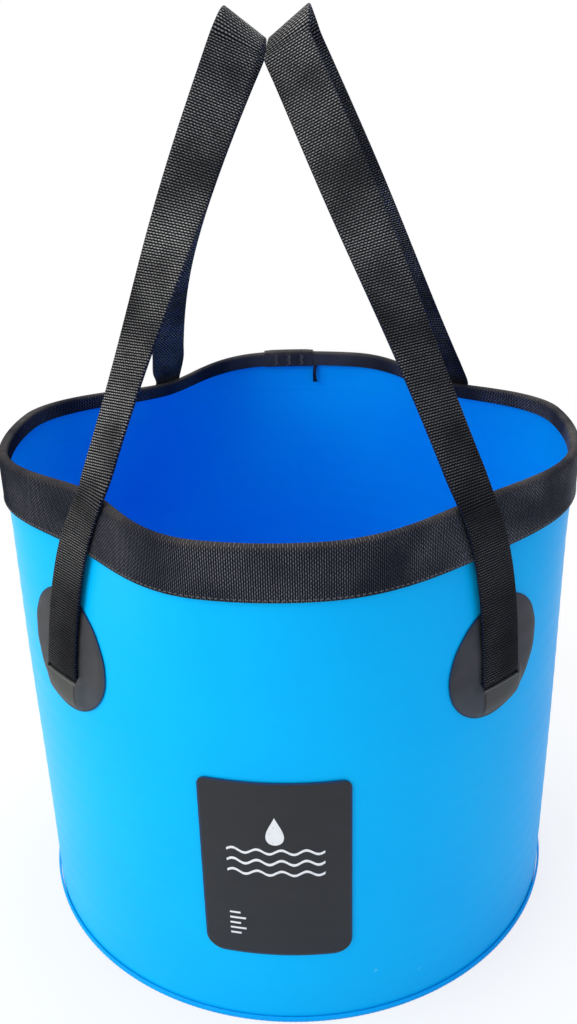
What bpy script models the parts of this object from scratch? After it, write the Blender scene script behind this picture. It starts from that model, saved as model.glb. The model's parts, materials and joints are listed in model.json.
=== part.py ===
"""A round, soft-walled camp bucket that folds flat, with two webbing handles held up.

The origin is the middle of the underside. +Z is up and -Y is the front, the side with the label.
An azimuth runs round the bucket from the front, and is positive towards +X.
All lengths are in metres.
"""

import math
from collections import namedtuple

import bmesh
import bpy
from mathutils import Matrix, Vector

# The bucket as a whole
BUCKET_RADIUS = 0.129
BUCKET_HEIGHT = 0.232
SHEET_THICKNESS = 0.0009
SEAT_GAP = 0.0003
RING_SEGMENTS = 80

# The base sheet, its turned-up skirt and the welded edge round it
SKIRT_HEIGHT = 0.012
BASE_EDGE_HEIGHT = 0.0024
BASE_EDGE_THICKNESS = 0.0011

# The upright weld of the wall sheet, at the back
SEAM_WIDTH = 0.018
SEAM_THICKNESS = 0.0008

# The webbing folded over the rim
WEBBING_THICKNESS = 0.0014
BINDING_OUTER_DROP = 0.0225
BINDING_INNER_DROP = 0.008
BINDING_LAP_LENGTH = 0.028
BINDING_LAP_THICKNESS = 0.0010
BINDING_LAP_AZIMUTH = math.radians(183.5)

# The oval patches that hold the handles, each with a slit for its strap
PATCH_AZIMUTH = math.radians(44)
PATCH_LENGTH = 0.0558
PATCH_WIDTH = 0.0466
PATCH_TILT = math.radians(32)
PATCH_THICKNESS = 0.0008
PATCH_CENTRE_DROP = 0.0669
PATCH_SEGMENTS = 32
SLIT_DROP = 0.0745
SLIT_HEIGHT = 0.0036
TAIL_LENGTH = 0.0080
TAIL_CLEARANCE = 0.0004
RISE_BLEND = 0.004

# The handles
STRAP_WIDTH = 0.021
STRAP_CLEARANCE = 0.0006
STRAP_COLUMNS = 4
STRAP_BEND = 3.5
FOLD_GAP = 0.0005
HANDLE_RISE = 0.1676
LOOP_TOP_RADIUS = 0.0090
APEX_TILT = math.radians(37)
STRAP_TURN_DELAY = 1.4
LEFT_APEX_X = -0.0132
LEFT_FRONT_X = -0.0171
LEFT_BACK_X = -0.0158
LEFT_FRONT_BOW = 0.0012
LEFT_BACK_BOW = 0.0103
RIGHT_APEX_X = 0.0048
RIGHT_FRONT_X = 0.0042
RIGHT_BACK_X = 0.0077
RIGHT_FRONT_BOW = 0.0010
RIGHT_BACK_BOW = 0.0003
LoopSide = namedtuple("LoopSide", "sense rim_azimuth shoulder_x bow")
Handle = namedtuple("Handle", "label side apex_x front back")
LEFT_HANDLE = Handle(
    "left", -1, LEFT_APEX_X,
    LoopSide(-1, math.radians(38.5), LEFT_FRONT_X, LEFT_FRONT_BOW),
    LoopSide(1, math.radians(136.5), LEFT_BACK_X, LEFT_BACK_BOW),
)
RIGHT_HANDLE = Handle(
    "right", 1, RIGHT_APEX_X,
    LoopSide(-1, math.radians(39.8), RIGHT_FRONT_X, RIGHT_FRONT_BOW),
    LoopSide(1, math.radians(130.2), RIGHT_BACK_X, RIGHT_BACK_BOW),
)
LOOP_SIDE_STATIONS = 9
LOOP_TOP_STATIONS = 7
LEG_STATIONS = 8

# The label panel
LABEL_WIDTH = 0.062
LABEL_HEIGHT = 0.090
LABEL_BOTTOM = 0.0395
LABEL_TOP_CORNER = 0.004
LABEL_BOTTOM_CORNER = 0.008
LABEL_THICKNESS = 0.0005
LABEL_COLUMN_WIDTH = 0.0078

# Where the pull of the straps presses the mouth inwards, and how that fades below it
DENT_REACH = 0.0925
DENT_GROWTH = 1.4
FRONT_LEFT_PRESS = 0.0185
FRONT_RIGHT_PRESS = 0.0115
BACK_RIGHT_PRESS = 0.0270
BACK_LEFT_PRESS = 0.0330
Dent = namedtuple("Dent", "azimuth depth half_angle")
FRONT_LEFT_DENT = Dent(math.radians(-43), FRONT_LEFT_PRESS, math.radians(32))
FRONT_RIGHT_DENT = Dent(math.radians(43), FRONT_RIGHT_PRESS, math.radians(34))
BACK_RIGHT_DENT = Dent(math.radians(134), BACK_RIGHT_PRESS, math.radians(33))
BACK_LEFT_DENT = Dent(math.radians(-134), BACK_LEFT_PRESS, math.radians(37))
DENTS = (FRONT_LEFT_DENT, FRONT_RIGHT_DENT, BACK_RIGHT_DENT, BACK_LEFT_DENT)

# Heights that follow from the sizes above
BINDING_BOTTOM = BUCKET_HEIGHT - BINDING_OUTER_DROP
WALL_TOP = BINDING_BOTTOM - SEAT_GAP
HEM_TOP = BUCKET_HEIGHT - WEBBING_THICKNESS - SEAT_GAP
SLIT_TOP = BUCKET_HEIGHT - SLIT_DROP
SLIT_BOTTOM = SLIT_TOP - SLIT_HEIGHT
PATCH_CENTRE = BUCKET_HEIGHT - PATCH_CENTRE_DROP
STRAP_ON_PATCH = SEAT_GAP + PATCH_THICKNESS + SEAT_GAP
STRAP_ON_BINDING = SEAT_GAP + WEBBING_THICKNESS + STRAP_CLEARANCE

Finish = namedtuple("Finish", "colour roughness")
WALL_BLUE = Finish((0.02, 0.36, 0.87), 0.35)
BASE_BLUE = Finish((0.01, 0.22, 0.70), 0.30)
BLACK_WEBBING = Finish((0.022, 0.024, 0.028), 0.85)
PATCH_GREY = Finish((0.060, 0.064, 0.066), 0.60)
LABEL_GREY = Finish((0.050, 0.052, 0.060), 0.45)


def clear_scene():
    """Removes whatever objects the scene starts with."""
    for obj in list(bpy.data.objects):
        bpy.data.objects.remove(obj, do_unlink=True)


def material_of(finish, name):
    """The Principled material with this finish, made once."""
    material = bpy.data.materials.get(name)
    if material is None:
        material = bpy.data.materials.new(name)
        material.use_nodes = True
        shader = material.node_tree.nodes["Principled BSDF"]
        shader.inputs["Base Color"].default_value = (*finish.colour, 1.0)
        shader.inputs["Roughness"].default_value = finish.roughness
        shader.inputs["Metallic"].default_value = 0.0
        material.diffuse_color = (*finish.colour, 1.0)
    return material


def object_from(bm, name, finish, material_name, pivot=None):
    """One named object from a bmesh whose points are places in the scene."""
    bmesh.ops.recalc_face_normals(bm, faces=bm.faces)
    if bm.calc_volume(signed=True) < 0:
        bmesh.ops.reverse_faces(bm, faces=bm.faces)
    if pivot is not None:
        bmesh.ops.translate(bm, verts=bm.verts, vec=-pivot.location)
    mesh = bpy.data.meshes.new(name)
    bm.to_mesh(mesh)
    bm.free()
    mesh.shade_smooth()
    mesh.set_sharp_from_angle(angle=math.radians(35))
    mesh.materials.append(material_of(finish, material_name))
    obj = bpy.data.objects.new(name, mesh)
    bpy.context.scene.collection.objects.link(obj)
    obj.parent = pivot
    return obj


def pivot_at(name, location):
    """An empty on a joint's axis, which carries what moves there."""
    empty = bpy.data.objects.new(name, None)
    empty.location = location
    bpy.context.scene.collection.objects.link(empty)
    return empty


def turn_between(angle, start):
    """The angle from start to angle, between minus and plus half a turn."""
    return (angle - start + math.pi) % math.tau - math.pi


def dent_at(azimuth, height):
    """How far the straps press the wall inwards at a place on it."""
    reach = (height - BUCKET_HEIGHT + DENT_REACH) / DENT_REACH
    if reach <= 0:
        return 0.0
    pressed = 0.0
    for dent in DENTS:
        away = abs(turn_between(azimuth, dent.azimuth)) / dent.half_angle
        if away < 1:
            pressed += dent.depth * math.cos(math.pi / 2 * away) ** 2
    return pressed * reach**DENT_GROWTH


def on_wall(azimuth, height, standoff):
    """The point that stands off the wall's outer face by this much."""
    radius = BUCKET_RADIUS + standoff - dent_at(azimuth, height)
    return Vector((radius * math.sin(azimuth), -radius * math.cos(azimuth), height))


def wrap_round(bm, azimuth):
    """Wraps a flat sheet on to the wall: X runs round it, Y is the height and Z stands off it."""
    for vertex in bm.verts:
        across, height, standoff = vertex.co
        vertex.co = on_wall(azimuth + across / BUCKET_RADIUS, height, standoff)


def press_in(bm):
    """Presses the dents into a ring that was turned as a true circle."""
    for vertex in bm.verts:
        x, y, height = vertex.co
        standoff = math.hypot(x, y) - BUCKET_RADIUS
        vertex.co = on_wall(math.atan2(x, -y), height, standoff)


def thicken(bm, thickness):
    """Extrudes a flat sheet along Z into a closed solid."""
    grown = bmesh.ops.extrude_face_region(bm, geom=bm.faces[:])
    new_points = [item for item in grown["geom"] if isinstance(item, bmesh.types.BMVert)]
    bmesh.ops.translate(bm, verts=new_points, vec=(0, 0, thickness))


def cut_lines(bm, axis, places):
    """Cuts a flat sheet along lines square to an axis, so that it can bend there."""
    normal = Vector((1, 0, 0)) if axis == "X" else Vector((0, 1, 0))
    for place in places:
        geometry = bm.verts[:] + bm.edges[:] + bm.faces[:]
        bmesh.ops.bisect_plane(bm, geom=geometry, plane_co=normal * place, plane_no=normal)


def evenly(start, end, count):
    """Evenly spaced values from start to end, both included."""
    return [start + (end - start) * step / (count - 1) for step in range(count)]


def turned_ring(profile):
    """Spins a closed profile of (standoff, height) points round the bucket's axis."""
    bm = bmesh.new()
    points = [bm.verts.new((BUCKET_RADIUS + standoff, 0, height)) for standoff, height in profile]
    edges = [bm.edges.new((points[i - 1], points[i])) for i in range(len(points))]
    bmesh.ops.spin(
        bm, geom=points + edges, cent=(0, 0, 0), axis=(0, 0, 1), angle=math.tau,
        steps=RING_SEGMENTS, use_merge=True, use_duplicate=False,
    )
    return bm


def upright_profile(outer, inner, rows):
    """The closed profile of an upright sheet between two standoffs, with points at these heights."""
    return [(outer, row) for row in rows] + [(inner, row) for row in reversed(rows)]


def dented_rows(bottom, top, count):
    """Heights for a sheet's rows: its two ends, and even steps where the dents are."""
    start = max(bottom, BUCKET_HEIGHT - DENT_REACH)
    rows = evenly(start, top, count)
    return rows if start == bottom else [bottom] + rows


def build_wall():
    """The tube of coated fabric that makes the wall, up to the webbing on the rim."""
    rows = dented_rows(0.0, WALL_TOP, 8)
    bm = turned_ring(upright_profile(0.0, -SHEET_THICKNESS, rows))
    press_in(bm)
    object_from(bm, "wall", WALL_BLUE, "wall_pvc")


def build_wall_seam():
    """The outer lap of the wall sheet's upright weld."""
    bm = bmesh.new()
    bottom = BASE_EDGE_HEIGHT + SEAT_GAP
    flat_plate(bm, SEAM_WIDTH, bottom, WALL_TOP)
    cut_lines(bm, "X", evenly(-SEAM_WIDTH / 2, SEAM_WIDTH / 2, 5)[1:-1])
    cut_lines(bm, "Y", dented_rows(bottom, WALL_TOP, 8)[1:-1])
    lift(bm, SEAT_GAP)
    thicken(bm, SEAM_THICKNESS)
    wrap_round(bm, math.pi)
    object_from(bm, "wall_seam_lap", WALL_BLUE, "wall_pvc")


def build_base():
    """The round base sheet with its turned-up skirt, and the welded edge outside the wall."""
    outer = BUCKET_RADIUS - SHEET_THICKNESS - SEAT_GAP
    inner = outer - SHEET_THICKNESS
    profile = ((0, 0), (outer, 0), (outer, SKIRT_HEIGHT), (inner, SKIRT_HEIGHT),
               (inner, SHEET_THICKNESS), (0, SHEET_THICKNESS))
    bm = bmesh.new()
    points = [bm.verts.new((radius, 0, height)) for radius, height in profile]
    edges = [bm.edges.new(pair) for pair in zip(points, points[1:])]
    bmesh.ops.spin(
        bm, geom=points + edges, cent=(0, 0, 0), axis=(0, 0, 1), angle=math.tau,
        steps=RING_SEGMENTS, use_merge=True, use_duplicate=False,
    )
    bmesh.ops.remove_doubles(bm, verts=bm.verts, dist=SEAT_GAP / 10)
    object_from(bm, "base_sheet", BASE_BLUE, "base_pvc")

    edge = upright_profile(SEAT_GAP + BASE_EDGE_THICKNESS, SEAT_GAP, (0.0, BASE_EDGE_HEIGHT))
    object_from(turned_ring(edge), "base_weld_edge", BASE_BLUE, "base_pvc")


def rim_rows():
    """The heights of the rows that the hem, the webbing over it and the straps outside share."""
    return evenly(BINDING_BOTTOM, HEM_TOP, 5)


def build_hem(pivot):
    """The top of the wall sheet, clamped inside the rim webbing."""
    bm = turned_ring(upright_profile(0.0, -SHEET_THICKNESS, rim_rows()))
    press_in(bm)
    object_from(bm, "wall_hem", WALL_BLUE, "wall_pvc", pivot)


def folded_profile(clearance, thickness):
    """The closed profile of webbing folded over the hem, this far off it."""
    outer = clearance
    inner = -SHEET_THICKNESS - clearance
    top = HEM_TOP + clearance
    inner_bottom = BUCKET_HEIGHT - BINDING_INNER_DROP
    rows = rim_rows()[:-1] + [top]
    outside = [(outer + thickness, row) for row in rows]
    over = [(outer, top + thickness), (inner, top + thickness), (inner - thickness, top)]
    inside = [(inner - thickness, inner_bottom), (inner, inner_bottom), (inner, top)]
    return outside + over + inside + [(outer, row) for row in reversed(rows)]


def build_binding(pivot):
    """The webbing folded over the rim, and the short lap where its two ends meet."""
    bm = turned_ring(folded_profile(SEAT_GAP, WEBBING_THICKNESS))
    press_in(bm)
    object_from(bm, "rim_binding", BLACK_WEBBING, "webbing", pivot)

    lap_clearance = SEAT_GAP + WEBBING_THICKNESS + SEAT_GAP
    profile = folded_profile(lap_clearance, BINDING_LAP_THICKNESS)
    half_angle = BINDING_LAP_LENGTH / BUCKET_RADIUS / 2
    azimuths = evenly(BINDING_LAP_AZIMUTH - half_angle, BINDING_LAP_AZIMUTH + half_angle, 7)
    sections = [[on_wall(azimuth, height, standoff) for standoff, height in profile] for azimuth in azimuths]
    object_from(swept(sections), "rim_binding_lap", BLACK_WEBBING, "webbing", pivot)


def swept(sections):
    """A closed solid through sections that have as many points each, extruded one after the other."""
    bm = bmesh.new()
    points = [bm.verts.new(place) for place in sections[0]]
    face = bm.faces.new(points)
    for section in sections[1:]:
        at = {point.co.copy().freeze(): index for index, point in enumerate(points)}
        grown = bmesh.ops.extrude_face_region(bm, geom=[face])
        if section is not sections[1]:
            bmesh.ops.delete(bm, geom=[face], context="FACES_ONLY")
        face = next(item for item in grown["geom"] if isinstance(item, bmesh.types.BMFace))
        points = sorted(face.verts, key=lambda point: at[point.co.copy().freeze()])
        for point, place in zip(points, section):
            point.co = place
    return bm


def flat_plate(bm, width, bottom, top):
    """A flat rectangle about the Y axis, between two heights."""
    corners = ((-width / 2, bottom, 0), (width / 2, bottom, 0), (width / 2, top, 0), (-width / 2, top, 0))
    bm.faces.new([bm.verts.new(corner) for corner in corners])


def lift(bm, distance):
    """Raises a flat sheet off the wall."""
    bmesh.ops.translate(bm, verts=bm.verts, vec=(0, 0, distance))


def build_label():
    """The thin panel welded to the front, with rounded corners."""
    bm = bmesh.new()
    flat_plate(bm, LABEL_WIDTH, LABEL_BOTTOM, LABEL_BOTTOM + LABEL_HEIGHT)
    middle = LABEL_BOTTOM + LABEL_HEIGHT / 2
    for radius, above in ((LABEL_TOP_CORNER, True), (LABEL_BOTTOM_CORNER, False)):
        at_side = [v for v in bm.verts if abs(v.co.x) > LABEL_WIDTH / 2 - SEAT_GAP]
        corners = [v for v in at_side if (v.co.y > middle) == above]
        bmesh.ops.bevel(
            bm, geom=corners, offset=radius, offset_type="OFFSET", affect="VERTICES",
            segments=4, profile=0.5, material=-1,
        )
    columns = math.ceil(LABEL_WIDTH / LABEL_COLUMN_WIDTH) + 1
    cut_lines(bm, "X", evenly(-LABEL_WIDTH / 2, LABEL_WIDTH / 2, columns)[1:-1])
    lift(bm, SEAT_GAP)
    thicken(bm, LABEL_THICKNESS)
    wrap_round(bm, 0.0)
    object_from(bm, "label_panel", LABEL_GREY, "label")


def ease(value):
    """A smooth step from 0 to 1."""
    value = min(max(value, 0.0), 1.0)
    return value * value * (3 - 2 * value)


def patch_rise(across, height):
    """How far a patch stands up to pass over the strap's welded tail."""
    side = (STRAP_WIDTH / 2 + TAIL_CLEARANCE + RISE_BLEND - abs(across)) / RISE_BLEND
    foot = (height - (SLIT_BOTTOM - TAIL_LENGTH - TAIL_CLEARANCE - RISE_BLEND)) / RISE_BLEND
    head = (SLIT_TOP - height) / SLIT_HEIGHT
    return (WEBBING_THICKNESS + SEAT_GAP) * ease(side) * ease(foot) * ease(head)


def build_patch(name, azimuth, pivot):
    """One oval patch, raised over the strap's tail and open at the slit above it."""
    lean = math.copysign(PATCH_TILT, math.sin(2 * azimuth))
    turn = Matrix.Rotation(lean, 3, "Z")
    bm = bmesh.new()
    bmesh.ops.create_circle(bm, cap_ends=True, segments=PATCH_SEGMENTS, radius=PATCH_LENGTH / 2)
    bmesh.ops.scale(bm, verts=bm.verts, vec=(1, PATCH_WIDTH / PATCH_LENGTH, 1))
    bmesh.ops.rotate(bm, verts=bm.verts, cent=(0, 0, 0), matrix=turn)
    bmesh.ops.translate(bm, verts=bm.verts, vec=(0, PATCH_CENTRE, 0))
    slit_side = STRAP_WIDTH / 2 + TAIL_CLEARANCE
    cut_lines(bm, "X", (-slit_side - RISE_BLEND, -slit_side, -slit_side / 2, 0.0, slit_side / 2,
                        slit_side, slit_side + RISE_BLEND))
    foot = SLIT_BOTTOM - TAIL_LENGTH - TAIL_CLEARANCE
    head_rows = evenly(SLIT_TOP, PATCH_CENTRE + PATCH_WIDTH / 2, 5)[1:-1]
    cut_lines(bm, "Y", [foot - RISE_BLEND, foot, *tail_rows()[1:-1], SLIT_BOTTOM, SLIT_TOP] + head_rows)
    in_slit = [
        face for face in bm.faces
        if abs(face.calc_center_median().x) < slit_side
        and SLIT_BOTTOM < face.calc_center_median().y < SLIT_TOP
    ]
    bmesh.ops.delete(bm, geom=in_slit, context="FACES")
    for vertex in bm.verts:
        vertex.co.z = SEAT_GAP + patch_rise(vertex.co.x, vertex.co.y)
    thicken(bm, PATCH_THICKNESS)
    bmesh.ops.triangulate(bm, faces=bm.faces)
    wrap_round(bm, azimuth)
    object_from(bm, name, PATCH_GREY, "patch", pivot)


def strap_section(azimuth, height, standoff):
    """The closed outline of the strap where it lies on the wall, cut level."""
    across = evenly(-STRAP_WIDTH / 2, STRAP_WIDTH / 2, STRAP_COLUMNS + 1)
    outer = [on_wall(azimuth + step / BUCKET_RADIUS, height, standoff + WEBBING_THICKNESS) for step in across]
    inner = [on_wall(azimuth + step / BUCKET_RADIUS, height, standoff) for step in reversed(across)]
    return outer + inner


def tail_rows():
    """The heights of the rows that a strap's tail and the patch over it share."""
    return evenly(SLIT_BOTTOM - TAIL_LENGTH, SLIT_BOTTOM - SEAT_GAP, 4)


def build_tail(name, azimuth, pivot):
    """The end of a strap, welded under its patch and led out through the slit."""
    route = [(height, SEAT_GAP) for height in tail_rows()] + [(SLIT_TOP + SEAT_GAP, STRAP_ON_PATCH)]
    sections = [strap_section(azimuth, height, standoff) for height, standoff in route]
    object_from(swept(sections), name, BLACK_WEBBING, "webbing", pivot)


def strap_azimuth(start, end, height):
    """Where the strap's middle lies as it runs from its slit up to the rim."""
    share = (height - SLIT_TOP) / (BUCKET_HEIGHT - SLIT_TOP)
    return start + turn_between(end, start) * share**STRAP_BEND


def strap_standoff(height):
    """The strap's inner face rises from the patch to clear the rim binding."""
    share = (height - SLIT_TOP) / (BINDING_BOTTOM - SLIT_TOP)
    return STRAP_ON_PATCH + (STRAP_ON_BINDING - STRAP_ON_PATCH) * min(max(share, 0.0), 1.0)


def leg_bottom():
    """The height at which a strap's free part starts, just outside its slit."""
    return SLIT_TOP + SEAT_GAP + FOLD_GAP


def build_leg(name, slit_azimuth, rim_azimuth, pivot):
    """The part of a strap from its slit to the rim, lying on patch, wall and binding."""
    heights = evenly(leg_bottom(), BINDING_BOTTOM, LEG_STATIONS)
    heights += rim_rows()[1:-1] + [BUCKET_HEIGHT]
    sections = [
        strap_section(strap_azimuth(slit_azimuth, rim_azimuth, height), height, strap_standoff(height))
        for height in heights
    ]
    object_from(swept(sections), name, BLACK_WEBBING, "webbing", pivot)


def level_points(azimuth):
    """The strap's outline at the rim, where the loop starts."""
    height = BUCKET_HEIGHT + FOLD_GAP
    across = evenly(-STRAP_WIDTH / 2, STRAP_WIDTH / 2, STRAP_COLUMNS + 1)
    faces = []
    for standoff in (STRAP_ON_BINDING + WEBBING_THICKNESS, STRAP_ON_BINDING):
        row = [on_wall(azimuth + step / BUCKET_RADIUS, BUCKET_HEIGHT, standoff) for step in across]
        for point in row:
            point.z = height
        faces.append(row)
    return faces


def flat_section(centre, heading, width_axis):
    """The outline of the flat strap there: its outer face, then its inner face back."""
    normal = width_axis.cross(heading).normalized()
    across = evenly(-STRAP_WIDTH / 2, STRAP_WIDTH / 2, STRAP_COLUMNS + 1)
    outer = [centre + width_axis * step + normal * WEBBING_THICKNESS / 2 for step in across]
    inner = [centre + width_axis * step - normal * WEBBING_THICKNESS / 2 for step in reversed(across)]
    return outer + inner


def squared(axis, heading):
    """The direction nearest to the axis that is square to the heading."""
    return (axis - heading * axis.dot(heading)).normalized()


def side_sections(handle, loop_side, apex, fold_axis):
    """Sections of one side of a loop from the rim up, then its shoulder's middle and width axis."""
    outer, inner = level_points(handle.side * loop_side.rim_azimuth)
    start = (outer[STRAP_COLUMNS // 2] + inner[STRAP_COLUMNS // 2]) / 2
    start_axis = (outer[-1] - outer[0]).normalized() * -loop_side.sense
    shoulder = Vector((loop_side.shoulder_x, loop_side.sense * LOOP_TOP_RADIUS, apex.z - LOOP_TOP_RADIUS))
    run = shoulder - start
    bow = handle.side * loop_side.bow
    sections = [outer + inner[::-1]]
    for share in evenly(0.0, 1.0, LOOP_SIDE_STATIONS)[1:]:
        centre = start.lerp(shoulder, share) + Vector((bow * math.sin(math.pi * share), 0, 0))
        heading = (run + Vector((bow * math.pi * math.cos(math.pi * share), 0, 0))).normalized()
        width_axis = squared(start_axis.lerp(fold_axis, ease(share) ** STRAP_TURN_DELAY), heading)
        sections.append(flat_section(centre, heading, width_axis * -loop_side.sense))
    return sections, shoulder, width_axis


def over_section(shoulder, shoulder_axis, apex, fold_axis, angle):
    """A section of the strap as it bends over the top, its width turning towards the fold's direction."""
    rise = apex - shoulder
    centre = shoulder.lerp(apex, math.sin(angle))
    centre.y = -LOOP_TOP_RADIUS * math.cos(angle)
    heading = Vector((rise.x * math.cos(angle), LOOP_TOP_RADIUS * math.sin(angle), rise.z * math.cos(angle)))
    return flat_section(centre, heading, shoulder_axis.lerp(fold_axis, math.sin(angle)).normalized())


def build_loop(handle, pivot):
    """The part of a strap above the rim: up from the front, over the top and down to the back."""
    apex = Vector((handle.apex_x, 0, BUCKET_HEIGHT + HANDLE_RISE))
    fold_axis = Vector((math.cos(APEX_TILT), 0, handle.side * math.sin(APEX_TILT)))
    front, front_shoulder, front_axis = side_sections(handle, handle.front, apex, fold_axis)
    back, back_shoulder, back_axis = side_sections(handle, handle.back, apex, fold_axis)
    over = []
    for angle in evenly(0.0, math.pi, LOOP_TOP_STATIONS)[1:-1]:
        forward = angle < math.pi / 2
        shoulder, shoulder_axis = (front_shoulder, front_axis) if forward else (back_shoulder, back_axis)
        over.append(over_section(shoulder, shoulder_axis, apex, fold_axis, angle))
    half = STRAP_COLUMNS + 1
    turned_back = [section[:half][::-1] + section[half:][::-1] for section in reversed(back)]
    name = f"{handle.label}_handle_loop"
    object_from(swept(front + over + turned_back), name, BLACK_WEBBING, "webbing", pivot)


def outermost_x(azimuths, height, standoff, side):
    """How far out along X the straps reach at these places, for the line they fold on."""
    half_angle = STRAP_WIDTH / 2 / BUCKET_RADIUS
    edges = [azimuth + turn for azimuth in azimuths for turn in (-half_angle, half_angle)]
    return side * max(abs(on_wall(edge, min(height, BUCKET_HEIGHT), standoff).x) for edge in edges)


def build_handle(handle, carrier):
    """One handle: two tails and patches, two legs that swing at the slits, and the loop above."""
    label, side = handle.label, handle.side
    slits = (side * PATCH_AZIMUTH, side * (math.pi - PATCH_AZIMUTH))
    rims = (side * handle.front.rim_azimuth, side * handle.back.rim_azimuth)
    swing_x = outermost_x(slits, leg_bottom(), STRAP_ON_PATCH + WEBBING_THICKNESS, side)
    swing = pivot_at(f"{label}_swing_pivot", (swing_x, 0, leg_bottom() - FOLD_GAP / 2))
    fold_x = outermost_x(rims, BUCKET_HEIGHT, STRAP_ON_BINDING + WEBBING_THICKNESS, side)
    fold = pivot_at(f"{label}_fold_pivot", (fold_x, 0, BUCKET_HEIGHT + FOLD_GAP / 2))
    for end, slit, rim in zip(("front", "back"), slits, rims):
        build_patch(f"{label}_{end}_patch", slit, carrier)
        build_tail(f"{label}_{end}_strap_tail", slit, carrier)
        build_leg(f"{label}_{end}_strap_leg", slit, rim, swing)
    build_loop(handle, fold)


def main():
    """Builds the whole bucket."""
    clear_scene()
    rim = pivot_at("rim_pivot", (0, 0, BUCKET_HEIGHT))
    anchors = pivot_at("anchor_pivot", (0, 0, SLIT_TOP))
    build_wall()
    build_wall_seam()
    build_base()
    build_label()
    build_hem(rim)
    build_binding(rim)
    build_handle(LEFT_HANDLE, anchors)
    build_handle(RIGHT_HANDLE, anchors)


main()
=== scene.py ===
"""The looks of a round, soft-walled camp bucket with webbing handles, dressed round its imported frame.

The origin is the middle of the underside, +Z is up and -Y is the front, the side with the label.
An azimuth runs round the bucket from the front, and is positive towards +X. Lengths are in metres.
"""
import json
import logging
import math
from dataclasses import dataclass
from enum import Enum
from typing import Callable, Iterable, Optional, Sequence, Union

import bmesh
import bpy
from mathutils import Matrix, Vector


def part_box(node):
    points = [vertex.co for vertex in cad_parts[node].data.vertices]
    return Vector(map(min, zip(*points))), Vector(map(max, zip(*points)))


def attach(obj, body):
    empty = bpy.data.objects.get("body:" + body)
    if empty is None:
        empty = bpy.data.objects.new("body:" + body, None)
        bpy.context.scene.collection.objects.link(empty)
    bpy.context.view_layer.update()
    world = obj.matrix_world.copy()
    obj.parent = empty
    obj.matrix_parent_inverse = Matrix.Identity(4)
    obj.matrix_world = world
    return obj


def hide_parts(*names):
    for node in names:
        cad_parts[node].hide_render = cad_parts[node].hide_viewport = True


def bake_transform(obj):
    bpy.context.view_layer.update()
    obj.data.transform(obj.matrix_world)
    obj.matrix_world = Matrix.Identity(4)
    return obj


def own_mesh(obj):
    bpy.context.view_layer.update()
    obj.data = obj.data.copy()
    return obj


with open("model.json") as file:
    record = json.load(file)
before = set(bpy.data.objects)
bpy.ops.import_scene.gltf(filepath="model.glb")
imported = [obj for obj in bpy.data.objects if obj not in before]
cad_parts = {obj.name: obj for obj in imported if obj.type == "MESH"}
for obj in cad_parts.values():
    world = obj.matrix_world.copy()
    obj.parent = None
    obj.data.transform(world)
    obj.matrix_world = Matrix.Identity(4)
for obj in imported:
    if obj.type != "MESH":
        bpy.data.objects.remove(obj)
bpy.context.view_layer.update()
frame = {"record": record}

log = logging.getLogger("bucket")

Colour = tuple[float, float, float]
Number = Union[float, "Socket"]
Line = list[Vector]
TAU = math.tau
UV_NAME = "surface"
WHITE: Colour = (1.0, 1.0, 1.0)
PALE_SPECK: Colour = (0.14, 0.70, 1.0)
# The colour of real pits, and of the painted shade in the patches' creases.
PIT_AND_CREASE_SHADE: Colour = (0.010, 0.010, 0.013)


# The frame's bodies and slots


class Body(Enum):
    """The frame's bodies that new pieces ride on."""

    BASE = "base"
    RIM = "rim"
    ANCHORS = "anchors"


class Slot(Enum):
    """The record's material slots."""

    WALL = "wall_pvc"
    BASE = "base_pvc"
    WEBBING = "webbing"
    PATCH = "patch"
    LABEL = "label"


# Shader nodes


class Socket:
    """One output of a shader node, on which arithmetic adds Math nodes."""

    def __init__(self, paint: "Paint", output: bpy.types.NodeSocket) -> None:
        """Keeps the output and the material that it belongs to."""
        self.paint = paint
        self.output = output

    def math(self, operation: str, *others: Number) -> "Socket":
        """Adds a Math node whose first input is this socket.

        Args:
            operation: the Math node's operation.
            others: its other inputs.

        Returns:
            The node's output.
        """
        inputs = {0: self, **dict(enumerate(others, 1))}
        return self.paint.node("ShaderNodeMath", {"operation": operation}, inputs)

    def __add__(self, other: Number) -> "Socket":
        """Adds a value."""
        return self.math("ADD", other)

    def __sub__(self, other: Number) -> "Socket":
        """Takes a value away."""
        return self.math("SUBTRACT", other)

    def __rsub__(self, other: float) -> "Socket":
        """Takes this from a number."""
        return self.math("MULTIPLY", -1.0) + other

    def __mul__(self, other: Number) -> "Socket":
        """Multiplies by a value."""
        return self.math("MULTIPLY", other)

    __radd__ = __add__
    __rmul__ = __mul__

    def cosine(self) -> "Socket":
        """The cosine of an angle in radians."""
        return self.math("COSINE")

    def size(self) -> "Socket":
        """The value without its sign."""
        return self.math("ABSOLUTE")

    def swing(self, pitch: float) -> "Socket":
        """A wave from -1 to 1 with its crests at whole pitches."""
        return (self * (TAU / pitch)).cosine()

    def wave(self, pitch: float) -> "Socket":
        """A wave from 0 to 1 with its crests at whole pitches."""
        return self.swing(pitch) * 0.5 + 0.5

    def smooth(self, low: float, high: float) -> "Socket":
        """Rises smoothly from 0 at low to 1 at high, or falls where low is the greater.

        Args:
            low: where it is 0.
            high: where it is 1.

        Returns:
            The share, from 0 to 1.
        """
        settings = {"interpolation_type": "SMOOTHSTEP"}
        if low < high:
            return self.paint.node("ShaderNodeMapRange", settings, {0: self, 1: low, 2: high, 3: 0.0, 4: 1.0})
        return self.paint.node("ShaderNodeMapRange", settings, {0: self, 1: high, 2: low, 3: 1.0, 4: 0.0})


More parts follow.
